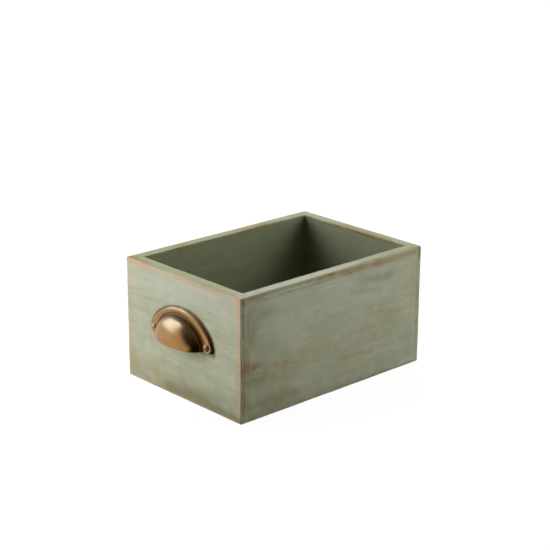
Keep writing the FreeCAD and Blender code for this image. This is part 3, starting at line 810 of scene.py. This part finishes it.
def make_board(node, thin_axis, outward):
    """A grooved board in its node's box. outward is the sign of thin_axis at its outer face."""
    low, high = (np.array(corner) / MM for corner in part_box(node))
    inner_face = low[thin_axis] if outward > 0 else high[thin_axis]
    groove_bottom = inner_face + outward * GROOVE["depth"]
    groove_ends = opening_high[0] + GROOVE["depth"]
    thin_steps = (LINES_BY_INNER_EDGE, LINES_BY_EDGE)[::outward]
    if thin_axis == X_AXIS:
        long_axis, long_steps, long_extra = Y_AXIS, LINES_BY_SEAM, ()
    else:
        long_axis, long_steps = X_AXIS, LINES_BY_EDGE
        long_extra = (-groove_ends, groove_ends, opening_low[0], opening_high[0])
    steps = {Z_AXIS: (LINES_BY_EDGE,) * 2, long_axis: (long_steps,) * 2, thin_axis: thin_steps}
    extra = {Z_AXIS: (GROOVE["low"], GROOVE["high"]), long_axis: long_extra, thin_axis: ()}
    lines = [lattice_lines(low[axis], high[axis], *steps[axis], extra[axis]) for axis in range(3)]
    clear = [line for line in lines[thin_axis] if abs(line - groove_bottom) > LEAST_SPACING]
    lines[thin_axis] = np.array(sorted(clear + [groove_bottom]))
    middles = [(line[1:] + line[:-1]) / 2 for line in lines]
    x, y, z = np.meshgrid(*middles, indexing="ij")
    thin = (x, y)[thin_axis]
    along = (x, y)[long_axis]
    in_groove = (z > GROOVE["low"]) & (z < GROOVE["high"])
    in_groove &= (thin - groove_bottom) * outward < 0
    if thin_axis == Y_AXIS:
        in_groove &= np.abs(along) < groove_ends
    places, faces = lattice_skin(lines, ~in_groove)
    wall = (outward, 0) if thin_axis == X_AXIS else (0, outward)
    material = paint_along if thin_axis == X_AXIS else paint_across
    board = add_piece(f"painted_{node}", soften_edges(places, wall), faces, material)
    for amount, values in wear_and_painted_light_amounts(places).items():
        attribute = board.data.attributes.new(amount, "FLOAT", "POINT")
        attribute.data.foreach_set("value", values.astype(np.float32))
    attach(board, "root")
    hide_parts(node)


make_board("front_board", Y_AXIS, -1)
make_board("back_board", Y_AXIS, 1)
make_board("left_side_board", X_AXIS, -1)
make_board("right_side_board", X_AXIS, 1)


# Bottom panel. A sheet of 4 mm birch plywood that floats in the boards' grooves. Its upper face was painted
# with the inside of the drawer, whose darker green is painted shade, and its underside is left bare.

PLY = "#C9AC80"
PLY_LIGHT = "#D8BF96"
PLY_DARK = "#AE8C5E"
PANEL_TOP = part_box("bottom_panel")[1].z
PAINT_DEPTH = 0.15 * MM

# The veneer's figure and pores and the paint's brush marks: how long they are along the grain, which runs
# across the drawer, how wide, and how detailed.
PLY_PATTERNS = {"figure": (60, 5, 4.0), "pores": (4.5, 0.35, 3.0), "brushed": (70, 3, 4.0)}

# Birch plywood, rotary cut and sanded: pale, with a faint streaked figure, short fine pores and hardly any
# shine. Where it is painted it shows the brush marks of the inside's darker green, which is painted shade.
panel_material, tree = start_material("birch_plywood")
place = add_node(tree, "ShaderNodeTexCoord").outputs["Object"]
patterns = {}
for pattern, (length, width, detail) in PLY_PATTERNS.items():
    scale = [1 / (length * MM), 1 / (width * MM), 1 / (width * MM)]
    stretched = add_node(tree, "ShaderNodeMapping", {"Vector": place, "Scale": scale})
    patterns[pattern] = add_node(
        tree, "ShaderNodeTexNoise", {"Vector": stretched, "Scale": 1.0, "Detail": detail, "Roughness": 0.55}
    )
tone = add_node(
    tree, "ShaderNodeMath", {0: patterns["pores"], 1: 0.35, 2: -0.18}, operation="MULTIPLY_ADD"
)
tone = add_node(tree, "ShaderNodeMath", {0: patterns["figure"], 1: tone}, operation="ADD")
ramp = add_node(tree, "ShaderNodeValToRGB", {0: tone})
ramp.color_ramp.elements[0].position = 0.3
ramp.color_ramp.elements[0].color = linear(PLY_DARK)
ramp.color_ramp.elements[1].position = 0.7
ramp.color_ramp.elements[1].color = linear(PLY_LIGHT)
ramp.color_ramp.elements.new(0.5).color = linear(PLY)
brushed = add_node(
    tree, "ShaderNodeMapRange", {"Value": patterns["brushed"], "From Min": 0.35, "From Max": 0.65}
)
painted = add_node(
    tree,
    "ShaderNodeMix",
    {0: brushed, 6: linear(PAINT_INSIDE_SHADED_DARK), 7: linear(PAINT_INSIDE_SHADED)},
    data_type="RGBA",
).outputs[2]
height = add_node(tree, "ShaderNodeSeparateXYZ", {0: place}).outputs["Z"]
upper = add_node(
    tree, "ShaderNodeMath", {0: height, 1: PANEL_TOP - PAINT_DEPTH}, operation="GREATER_THAN"
)
colour = add_node(
    tree, "ShaderNodeMix", {0: upper, 6: ramp, 7: painted}, data_type="RGBA"
).outputs[2]
bump = add_node(
    tree, "ShaderNodeBump", {"Height": patterns["pores"], "Strength": 0.3, "Distance": 0.08 * MM}
)
shader = add_node(
    tree,
    "ShaderNodeBsdfPrincipled",
    {"Base Color": colour, "Roughness": 0.62, "Specular IOR Level": 0.3, "Normal": bump},
)
add_node(tree, "ShaderNodeOutputMaterial", {"Surface": shader})
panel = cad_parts["bottom_panel"]
for index in range(len(panel.material_slots)):
    panel.material_slots[index].material = panel_material


# Cup pull. A half-round cup with an arched flange, pressed from brass and antiqued: dark patina in the hollow
# and along the neck, rubbed bright on the swell, under clear lacquer. Two screws hold it to the front board.

PLATE_DEPTH = 2.4
CUP_HALF_WIDTH = 27.6
CUP_HEIGHT = 22.5
CUP_WALL = 1.2
NECK_RADIUS = 1.3

# The flange's crowned face: how far in from the outline, and how far it stands off the board there.
FLANGE_CROWN = [
    (0, 0.15), (0.2, 0.34), (0.9, 0.86), (1.7, 1.42), (2.3, 1.81), (2.6, 1.95), (3.0, 2.05), (3.5, 2.13),
    (4.6, 2.24), (5.8, 2.34), (7.2, 2.4),
]
FLANGE_EDGE = 3.5
FOOT_CORNER_RADIUS = 4.2
LIP_RADIUS = 0.35
FOOT_FADE = 0.15
SCREW_HOLE = {"radius": 1.7, "reach": 3, "steps": 40}
BRASS = "#AD8552"
BRASS_DULL = "#946D3D"
PATINA = "#573A14"
BRASS_LUMPS = {"clouds": (9, 4.0), "specks": (0.9, 3.0)}

# How much of the patina is left on each stretch of the pull, where 1 is all of it. It fades out up the swell
# from the neck, across the flange over NECK_DIRT, which narrows from the left to the right between two shares
# of the arch, and inwards from the rim.
PATINA_LEFT = {
    "lip": 0.1, "neck": 1.0, "flange": 0.9, "side": 0.9, "rear": 1.0, "hollow": 1.0, "inner_lip": 0.5,
}
SWELL_PATINA = {"start": 0.72, "curve": 1.5}
NECK_DIRT = {"shares": (0.4, 0.75), "widths": (3.4, 1.0), "curve": 1.3}
RIM_PATINA = {"edge": 1.2, "fade": 0.42}

# The mesh: columns from foot to foot, which crowd towards the feet, and the lines of each stretch of rows.
PULL_COLUMNS = 220
FOOT_CROWDING = 0.42
PULL_ROWS = {"lip": 6, "swell": 61, "neck": 9, "flange": 11, "rear": 7, "hollow": 41}
WELD = 0.001 * MM

pull_low, pull_high = (np.array(corner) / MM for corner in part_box("cup_pull"))
pull_half_width = (pull_high[0] - pull_low[0]) / 2
pull_height = pull_high[2] - pull_low[2]
pull_projection = pull_high[1] - pull_low[1]


def arch_outline(shares):
    """Places and outward directions along the flange's outline, which has an arc at each shoulder and a
    flatter one over the top. Its two feet are pulled in to rounded corners."""
    shoulder = pull_height**2 / pull_half_width
    crown = pull_half_width**2 + pull_height**2 - 2 * pull_half_width * shoulder
    crown /= 2 * (pull_height - shoulder)
    shoulder_x = pull_half_width - shoulder
    crown_z = pull_height - crown
    turn = math.atan2(-crown_z, shoulder_x)
    shoulder_run = shoulder * turn
    crown_run = crown * (math.pi - 2 * turn)
    places, outward = [], []
    for share in shares:
        run = share * (2 * shoulder_run + crown_run)
        if run < shoulder_run:
            angle, radius, centre = math.pi - run / shoulder, shoulder, (-shoulder_x, 0)
        elif run < shoulder_run + crown_run:
            angle, radius, centre = math.pi - turn - (run - shoulder_run) / crown, crown, (0, crown_z)
        else:
            angle = turn - (run - shoulder_run - crown_run) / shoulder
            radius, centre = shoulder, (shoulder_x, 0)
        outward.append((math.cos(angle), math.sin(angle)))
        places.append((centre[0] + radius * outward[-1][0], centre[1] + radius * outward[-1][1]))
    places = np.array(places)
    drop = np.clip(FOOT_CORNER_RADIUS - places[:, 1], 0, FOOT_CORNER_RADIUS)
    pulled_in = FOOT_CORNER_RADIUS - np.sqrt(FOOT_CORNER_RADIUS**2 - drop**2)
    places[:, 0] -= np.sign(places[:, 0]) * pulled_in
    return places, np.array(outward)


def crown_depth(outline, places):
    """How far the flange's crowned face stands off the board, by how far in it is from the outline."""
    insets, depths = zip(*FLANGE_CROWN)
    return np.interp(np.linalg.norm(outline - places, axis=0), insets, depths)


def pull_rows():
    """Rows of (x, height, depth) round the pull's section, from the lip over the cup and back through it,
    and how much of the dark patina is left on each."""
    along = np.linspace(0, 1, PULL_COLUMNS + 1)
    angle = math.pi * along - FOOT_CROWDING * np.sin(2 * math.pi * along)
    sine, cosine = np.sin(angle), np.cos(angle)
    sine[0] = sine[-1] = 0
    cup_depth = pull_projection - PLATE_DEPTH
    kept = math.sqrt(1 - (NECK_RADIUS / cup_depth) ** 2)
    bulge = np.sqrt(1 - (kept * cosine) ** 2)
    hollow_width = CUP_HALF_WIDTH - CUP_WALL
    hollow_height = CUP_HEIGHT - CUP_WALL
    hollow_depth = pull_projection - CUP_WALL
    lip = LIP_RADIUS * np.minimum(1, sine / FOOT_FADE)
    lip_share = LIP_RADIUS / np.maximum(sine, FOOT_FADE)
    rows, patina = [], []

    def add_row(x, height, depth, amount):
        rows.append(np.stack(np.broadcast_arrays(x, height, depth), axis=1).astype(float))
        patina.append(np.broadcast_to(amount, angle.shape))

    # Outer half of the lip's rounding
    lip_out = np.stack([-cosine / CUP_HALF_WIDTH, bulge / cup_depth])
    lip_out /= np.linalg.norm(lip_out, axis=0)
    outer = np.stack([-CUP_HALF_WIDTH * kept * cosine, PLATE_DEPTH + cup_depth * bulge])
    for turn in np.linspace(0, math.pi / 2, PULL_ROWS["lip"])[:-1]:
        inset = lip * (1 - math.sin(turn))
        rounding = outer - lip_out * inset
        add_row(rounding[0], lip * (1 - math.cos(turn)), rounding[1], PATINA_LEFT["lip"])

    # Swell of the cup
    low_turn = np.arcsin(np.clip(lip / (CUP_HEIGHT * bulge), 0, 1))
    high_turn = np.arccos(np.clip(NECK_RADIUS / cup_depth / bulge, 0, 1))
    for share in np.linspace(0, 1, PULL_ROWS["swell"]):
        turn = low_turn + (high_turn - low_turn) * share
        add_row(
            -CUP_HALF_WIDTH * kept * cosine,
            CUP_HEIGHT * bulge * np.sin(turn),
            PLATE_DEPTH + cup_depth * bulge * np.cos(turn),
            max(0, (share - SWELL_PATINA["start"]) / (1 - SWELL_PATINA["start"])) ** SWELL_PATINA["curve"],
        )

    # Hollow neck where the cup runs out into the flange
    neck = np.stack([-CUP_HALF_WIDTH * cosine, CUP_HEIGHT * sine])
    neck_out = np.stack([-cosine / CUP_HALF_WIDTH, sine / CUP_HEIGHT])
    neck_out /= np.linalg.norm(neck_out, axis=0)
    flange_start = neck + neck_out * NECK_RADIUS
    outline, outward = (values.T for values in arch_outline(angle / math.pi))
    outward[1, 0] = outward[1, -1] = 0
    outline[1, 0] = outline[1, -1] = 0
    foot_depth = crown_depth(outline, flange_start)
    neck_dirt = np.interp(angle / math.pi, NECK_DIRT["shares"], NECK_DIRT["widths"])
    for turn in np.linspace(0, math.pi / 2, PULL_ROWS["neck"])[1:]:
        bend = neck + neck_out * NECK_RADIUS * (1 - math.cos(turn))
        bend = bend + neck * (kept - 1) * (1 - turn / (math.pi / 2)) ** 2
        depth = PLATE_DEPTH + NECK_RADIUS * (1 - math.sin(turn)) + (foot_depth - PLATE_DEPTH) * math.sin(turn)
        add_row(bend[0], bend[1], depth, PATINA_LEFT["neck"])

    # Flange, flat at first and chamfered at its rim
    flange_stop = outline - outward * FLANGE_EDGE
    for share in np.linspace(0, 1, PULL_ROWS["flange"])[1:]:
        flat = flange_start + (flange_stop - flange_start) * share
        near_neck = np.clip(1 - np.linalg.norm(flat - flange_start, axis=0) / neck_dirt, 0, 1)
        dark = PATINA_LEFT["flange"] * near_neck ** NECK_DIRT["curve"]
        add_row(flat[0], flat[1], crown_depth(outline, flat), dark)
    for inset, edge_depth in FLANGE_CROWN[::-1]:
        if inset < FLANGE_EDGE:
            edge = outline - outward * inset
            add_row(edge[0], edge[1], edge_depth, max(0, RIM_PATINA["edge"] - RIM_PATINA["fade"] * inset))

    # Flat back that lies on the board
    add_row(outline[0], outline[1], 0, PATINA_LEFT["side"])
    opening = np.stack([-hollow_width * cosine, hollow_height * sine])
    for share in np.linspace(0, 1, PULL_ROWS["rear"])[1:-1]:
        rear = outline + (opening - outline) * share
        add_row(rear[0], rear[1], 0, PATINA_LEFT["rear"])

    # Hollow inside the cup
    lip_turn = np.arcsin(np.clip(lip_share / hollow_height, 0, 1))
    for share in np.linspace(0, 1, PULL_ROWS["hollow"]):
        turn = math.pi / 2 + (lip_turn - math.pi / 2) * share
        add_row(
            -hollow_width * cosine,
            hollow_height * sine * np.sin(turn),
            hollow_depth * sine * np.cos(turn),
            PATINA_LEFT["hollow"],
        )

    # Inner half of the lip's rounding
    hollow_out = np.stack([-cosine / hollow_width, sine / hollow_depth])
    hollow_out /= np.linalg.norm(hollow_out, axis=0)
    inner = np.stack([-hollow_width * cosine, hollow_depth * sine])
    for turn in np.linspace(math.pi / 2, 0, PULL_ROWS["lip"])[1:]:
        rounding = inner + hollow_out * lip * (1 - math.sin(turn))
        add_row(rounding[0], lip * (1 - math.cos(turn)), rounding[1], PATINA_LEFT["inner_lip"])
    return np.array(rows), np.array(patina)


def stitch_pull(rows):
    """Faces between neighbouring rows, and the two flat feet at the ends of the straight lower edge."""
    row_count, column_count = rows.shape[:2]
    faces = []
    for row in range(row_count):
        following = (row + 1) % row_count
        for column in range(column_count - 1):
            first = row * column_count + column
            second = following * column_count + column
            faces.append((first, first + 1, second + 1, second))
    ends = [[row * column_count + column for row in range(row_count)] for column in (0, column_count - 1)]
    return faces + [ends[0], ends[1][::-1]]


def clean_mesh(mesh, weld):
    """Weld doubled places, drop faces without area and turn every face outward."""
    edit = bmesh.new()
    edit.from_mesh(mesh)
    bmesh.ops.remove_doubles(edit, verts=edit.verts, dist=weld)
    bmesh.ops.dissolve_degenerate(edit, edges=edit.edges, dist=weld)
    bmesh.ops.recalc_face_normals(edit, faces=edit.faces)
    edit.to_mesh(mesh)
    edit.free()


def turned_form(profile, steps):
    """A mesh turned about Z from (radius, height) pairs, which start and end on the axis."""
    places, faces, rings = [], [], []
    for radius, height in profile:
        count = steps if radius > 0 else 1
        rings.append([len(places) + index for index in range(count)])
        for index in range(count):
            angle = 2 * math.pi * index / steps
            places.append((radius * math.cos(angle), radius * math.sin(angle), height))
    for lower, upper in zip(rings, rings[1:]):
        for index in range(steps):
            following = (index + 1) % steps
            corners = [
                lower[index % len(lower)],
                lower[following % len(lower)],
                upper[following % len(upper)],
                upper[index % len(upper)],
            ]
            faces.append(list(dict.fromkeys(corners)))
    return places, faces


def cut_away(piece, cutters):
    """Cut the cutters out of a piece, then remove them."""
    for cutter in cutters:
        cut = piece.modifiers.new("cut", "BOOLEAN")
        cut.operation = "DIFFERENCE"
        cut.solver = "EXACT"
        cut.object = cutter
        baked = bpy.data.meshes.new_from_object(piece.evaluated_get(bpy.context.evaluated_depsgraph_get()))
        piece.modifiers.remove(cut)
        piece.data = baked
        bpy.data.objects.remove(cutter)


# Pressed brass, darkened, rubbed back and lacquered: rubbed places are a warm soft mirror under a thin gloss,
# and where the patina is left it is a dull dark brown. The patina's specks are drawn coarser than real ones,
# so that they show.
brass_material, tree = start_material("antique_brass_lacquered")
place = add_node(tree, "ShaderNodeTexCoord").outputs["Object"]
patterns = {}
for pattern, (size, detail) in BRASS_LUMPS.items():
    patterns[pattern] = add_node(
        tree,
        "ShaderNodeTexNoise",
        {"Vector": place, "Scale": 1 / (size * MM), "Detail": detail, "Roughness": 0.55},
    )
patina_left = add_node(tree, "ShaderNodeAttribute", attribute_name="patina")
level = -0.26
for pattern, weight in (("clouds", 0.5), ("specks", 0.12)):
    level = add_node(
        tree, "ShaderNodeMath", {0: patterns[pattern], 1: weight, 2: level}, operation="MULTIPLY_ADD"
    )
level = add_node(tree, "ShaderNodeMath", {0: patina_left.outputs["Fac"], 1: level}, operation="ADD")
cover = add_node(
    tree,
    "ShaderNodeMapRange",
    {"Value": level, "From Min": 0.1, "From Max": 1.1, "To Max": 0.86},
    interpolation_type="SMOOTHSTEP",
)
rubbed = add_node(
    tree, "ShaderNodeMix", {0: patterns["clouds"], 6: linear(BRASS), 7: linear(BRASS_DULL)}, data_type="RGBA"
).outputs[2]
colour = add_node(
    tree, "ShaderNodeMix", {0: cover, 6: rubbed, 7: linear(PATINA)}, data_type="RGBA"
).outputs[2]
roughness = add_node(
    tree,
    "ShaderNodeMapRange",
    {"Value": level, "From Min": 0.0, "From Max": 1.2, "To Min": 0.27, "To Max": 0.5},
)
lacquer = add_node(
    tree,
    "ShaderNodeMapRange",
    {"Value": cover, "From Min": 0.0, "From Max": 0.6, "To Min": 0.09, "To Max": 0.0},
)
bump = add_node(
    tree, "ShaderNodeBump", {"Height": patterns["specks"], "Strength": 0.12, "Distance": 0.04 * MM}
)
shader = add_node(
    tree,
    "ShaderNodeBsdfPrincipled",
    {
        "Base Color": colour,
        "Metallic": 1.0,
        "Roughness": roughness,
        "Normal": bump,
        "Coat Weight": lacquer,
        "Coat Roughness": 0.28,
    },
)
add_node(tree, "ShaderNodeOutputMaterial", {"Surface": shader})

rows, patina = pull_rows()
pull_places = np.stack([
    rows[:, :, 0], pull_high[1] - rows[:, :, 2], pull_low[2] + rows[:, :, 1]
], axis=2)
pull = add_piece("antique_cup_pull", pull_places.reshape(-1, 3), stitch_pull(rows), brass_material)
attribute = pull.data.attributes.new("patina", "FLOAT", "POINT")
attribute.data.foreach_set("value", patina.reshape(-1).astype(np.float32))
clean_mesh(pull.data, 2 * WELD)
screw_places = []
drills = []
hole_radius, hole_reach = SCREW_HOLE["radius"], SCREW_HOLE["reach"]
drill_profile = [(0, -hole_reach), (hole_radius, -hole_reach), (hole_radius, hole_reach), (0, hole_reach)]
drill_form, drill_faces = turned_form(drill_profile, SCREW_HOLE["steps"])
for node in ("pull_screw_left", "pull_screw_right"):
    middle = sum(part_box(node), Vector()) / 2
    screw_places.append((middle.x, pull_high[1] * MM - PLATE_DEPTH * MM, middle.z))
    plate_middle = pull_high[1] - PLATE_DEPTH / 2
    drill_places = [(middle.x / MM + x, plate_middle + z, middle.z / MM + y) for x, y, z in drill_form]
    drill = add_piece("drill", drill_places, drill_faces, brass_material)
    clean_mesh(drill.data, WELD)
    drills.append(drill)
cut_away(pull, drills)
pull.data.shade_smooth()
pull.data.set_sharp_from_angle(angle=SHARP_ANGLE)
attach(pull, "root")
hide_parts("cup_pull")


# Pull screws. Two nickel-plated round-head wood screws with cross recesses. They go through the flange into
# the front board, and each stopped at its own angle.

SCREW_HEAD = {"radius": 3.0, "height": 2.1, "edge": 0.1}
SCREW_SHANK = {"radius": 1.5, "plain": 3.6}
SCREW_POINT = {"length": 3.0, "root_share": 0.9, "tip": 0.2, "tip_share": 0.2}
THREAD = {"start": 5, "pitch": 1.3, "depth": 0.32}
RECESS = {"reach": 1.6, "arm": 0.32, "depth": 0.8, "taper": 0.5, "above": 0.5}
SCREW_ANGLES = (14, 38)
SCREW_STEPS = 48

# One turn of the thread: how far along the pitch, and which share of the thread's depth is cut away there.
THREAD_TURN = ((0.3, 1), (0.62, 0), (0.72, 0), (1.02, 1))
NICKEL = "#D9B27E"
NICKEL_DARK = "#B9925C"
TARNISH_SIZE = 1.2


def make_fasteners(name, form, places, turns, material):
    """One mesh of a form set on each place and turned by angles about X, Y and Z, made by Geometry Nodes."""
    points = bpy.data.meshes.new(name)
    points.from_pydata([tuple(place) for place in places], [], [])
    attribute = points.attributes.new("turn", "FLOAT_VECTOR", "POINT")
    attribute.data.foreach_set("vector", np.array(turns, dtype=np.float32).reshape(-1))
    fasteners = bpy.data.objects.new(name, points)
    bpy.context.scene.collection.objects.link(fasteners)
    tree = bpy.data.node_groups.new(name, "GeometryNodeTree")
    sockets = {}
    for label, kind in (
        ("Geometry", "NodeSocketGeometry"),
        ("Form", "NodeSocketObject"),
        ("Material", "NodeSocketMaterial"),
    ):
        socket = tree.interface.new_socket(label, in_out="INPUT", socket_type=kind)
        sockets[label] = socket.identifier
    tree.interface.new_socket("Geometry", in_out="OUTPUT", socket_type="NodeSocketGeometry")
    inputs = add_node(tree, "NodeGroupInput").outputs
    turn = add_node(tree, "GeometryNodeInputNamedAttribute", {"Name": "turn"}, data_type="FLOAT_VECTOR")
    rotation = add_node(tree, "FunctionNodeEulerToRotation", {"Euler": turn})
    shape = add_node(tree, "GeometryNodeObjectInfo", {"Object": inputs["Form"]}, transform_space="ORIGINAL")
    placed = add_node(
        tree,
        "GeometryNodeInstanceOnPoints",
        {"Points": inputs["Geometry"], "Instance": shape.outputs["Geometry"], "Rotation": rotation},
    )
    single = add_node(tree, "GeometryNodeRealizeInstances", {"Geometry": placed})
    finished = add_node(
        tree, "GeometryNodeSetMaterial", {"Geometry": single, "Material": inputs["Material"]}
    )
    add_node(tree, "NodeGroupOutput", {"Geometry": finished})
    modifier = fasteners.modifiers.new(name, "NODES")
    modifier.node_group = tree
    modifier[sockets["Form"]] = form
    modifier[sockets["Material"]] = material
    made = bpy.data.meshes.new_from_object(fasteners.evaluated_get(bpy.context.evaluated_depsgraph_get()))
    fasteners.modifiers.remove(modifier)
    fasteners.data = made
    made.shade_smooth()
    made.set_sharp_from_angle(angle=SHARP_ANGLE)
    bpy.data.objects.remove(form)
    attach(fasteners, "root")
    return fasteners


# Nickel plate on steel, yellowed by old wax: a warm sheen without a sharp mirror, a little lighter than the
# brass round it, with faint darker blotches of tarnish.
nickel_material, tree = start_material("nickel_plated_steel")
place = add_node(tree, "ShaderNodeTexCoord").outputs["Object"]
tarnish = add_node(
    tree,
    "ShaderNodeTexNoise",
    {"Vector": place, "Scale": 1 / (TARNISH_SIZE * MM), "Detail": 3.0, "Roughness": 0.55},
)
tarnish = add_node(
    tree, "ShaderNodeMapRange", {"Value": tarnish, "From Min": 0.45, "From Max": 0.75}
)
colour = add_node(
    tree, "ShaderNodeMix", {0: tarnish, 6: linear(NICKEL), 7: linear(NICKEL_DARK)}, data_type="RGBA"
).outputs[2]
shader = add_node(
    tree, "ShaderNodeBsdfPrincipled", {"Base Color": colour, "Metallic": 1.0, "Roughness": 0.7}
)
add_node(tree, "ShaderNodeOutputMaterial", {"Surface": shader})

screw_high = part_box("pull_screw_left")[1]
head_radius, head_height = SCREW_HEAD["radius"], SCREW_HEAD["height"]
shank_radius, tip_share = SCREW_SHANK["radius"], SCREW_POINT["tip_share"]
shank_length = screw_high.y / MM - (pull_high[1] - PLATE_DEPTH)
dome = (head_radius**2 + head_height**2) / (2 * head_height)
profile = [(0, shank_length), (shank_radius * tip_share, shank_length - SCREW_POINT["tip"])]
for share in np.linspace(0, 1, 7)[1:]:
    width = tip_share + (SCREW_POINT["root_share"] - tip_share) * share
    profile.append((shank_radius * width, shank_length - SCREW_POINT["length"] * share))
for height in np.arange(shank_length - SCREW_POINT["length"], THREAD["start"], -THREAD["pitch"]):
    profile += [(shank_radius - THREAD["depth"] * cut, height - drop) for drop, cut in THREAD_TURN]
profile += [(shank_radius, SCREW_SHANK["plain"]), (shank_radius, 0), (head_radius - SCREW_HEAD["edge"], 0)]
for share in np.linspace(0.05, 1, 15):
    angle = math.asin(head_radius / dome) * (1 - share)
    profile.append((dome * math.sin(angle), dome - head_height - dome * math.cos(angle)))
screw_form = add_piece("screw_form", *turned_form(profile, SCREW_STEPS), nickel_material)
clean_mesh(screw_form.data, WELD)
reach, arm, depth = RECESS["reach"], RECESS["arm"], RECESS["depth"]
plus = [(reach, -arm), (reach, arm), (arm, arm), (arm, reach), (-arm, reach), (-arm, arm)]
plus += [(-x, -y) for x, y in plus]
driver_places = [(x, y, -head_height - RECESS["above"]) for x, y in plus]
driver_places += [(x * RECESS["taper"], y * RECESS["taper"], depth - head_height) for x, y in plus]
count = len(plus)
driver_faces = [tuple(range(count)), tuple(range(2 * count - 1, count - 1, -1))]
for index in range(count):
    following = (index + 1) % count
    driver_faces.append((index, following, count + following, count + index))
driver = add_piece("driver", driver_places, driver_faces, nickel_material)
clean_mesh(driver.data, WELD)
cut_away(screw_form, [driver])
screw_turns = [(-math.pi / 2, math.radians(angle), 0) for angle in SCREW_ANGLES]
screws = make_fasteners("pull_screws", screw_form, screw_places, screw_turns, nickel_material)
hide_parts("pull_screw_left", "pull_screw_right")


# Brads. Twelve finishing brads, three through each end of the front and back boards into the sides. They are
# driven a little below the face, and filler and paint cover their heads.

BRAD_HEAD = {"radius": 1.1, "height": 0.8, "bevel": 0.12, "taper_above": 0.2, "taper_below": 0.1}
BRAD_SHANK_RADIUS = 0.6
BRAD_LENGTH = 30.0
BRAD_POINT = {"length": 1.8, "tip": 0.3, "tip_share": 0.35}
BRAD_SINK = 0.25
BRAD_STEPS = 20
STEEL = "#8E8A82"
STEEL_DARK = "#5C5348"
RUST_SIZE = 2

# Drawn steel wire, upset to a small head: a grey that mirrors softly, browned by rust in blotches.
steel_material, tree = start_material("bright_steel_wire")
place = add_node(tree, "ShaderNodeTexCoord").outputs["Object"]
rust = add_node(
    tree,
    "ShaderNodeTexNoise",
    {"Vector": place, "Scale": 1 / (RUST_SIZE * MM), "Detail": 3.0, "Roughness": 0.55},
)
rust = add_node(tree, "ShaderNodeMapRange", {"Value": rust, "From Min": 0.4, "From Max": 0.7})
colour = add_node(
    tree, "ShaderNodeMix", {0: rust, 6: linear(STEEL), 7: linear(STEEL_DARK)}, data_type="RGBA"
).outputs[2]
shader = add_node(
    tree, "ShaderNodeBsdfPrincipled", {"Base Color": colour, "Metallic": 1.0, "Roughness": 0.4}
)
add_node(tree, "ShaderNodeOutputMaterial", {"Surface": shader})

head, shank = BRAD_HEAD["radius"], BRAD_SHANK_RADIUS
brad_profile = [
    (0, BRAD_SINK),
    (head - BRAD_HEAD["bevel"], BRAD_SINK),
    (head, BRAD_SINK + BRAD_HEAD["bevel"]),
    (head, BRAD_HEAD["height"] - BRAD_HEAD["taper_above"]),
    (shank, BRAD_HEAD["height"] + BRAD_HEAD["taper_below"]),
    (shank, BRAD_LENGTH - BRAD_POINT["length"]),
    (shank * BRAD_POINT["tip_share"], BRAD_LENGTH - BRAD_POINT["tip"]),
    (0, BRAD_LENGTH),
]
brad_form = add_piece("brad_form", *turned_form(brad_profile, BRAD_STEPS), steel_material)
clean_mesh(brad_form.data, WELD)
brad_points = [np.array(place[:3]) * MM for place in brad_places]
brad_turns = [(-math.pi / 2 if at_front else math.pi / 2, 0, 0) for x, y, z, at_front in brad_places]
brads = make_fasteners("finishing_brads", brad_form, brad_points, brad_turns, steel_material)
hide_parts(*[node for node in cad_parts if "_brad_" in node])
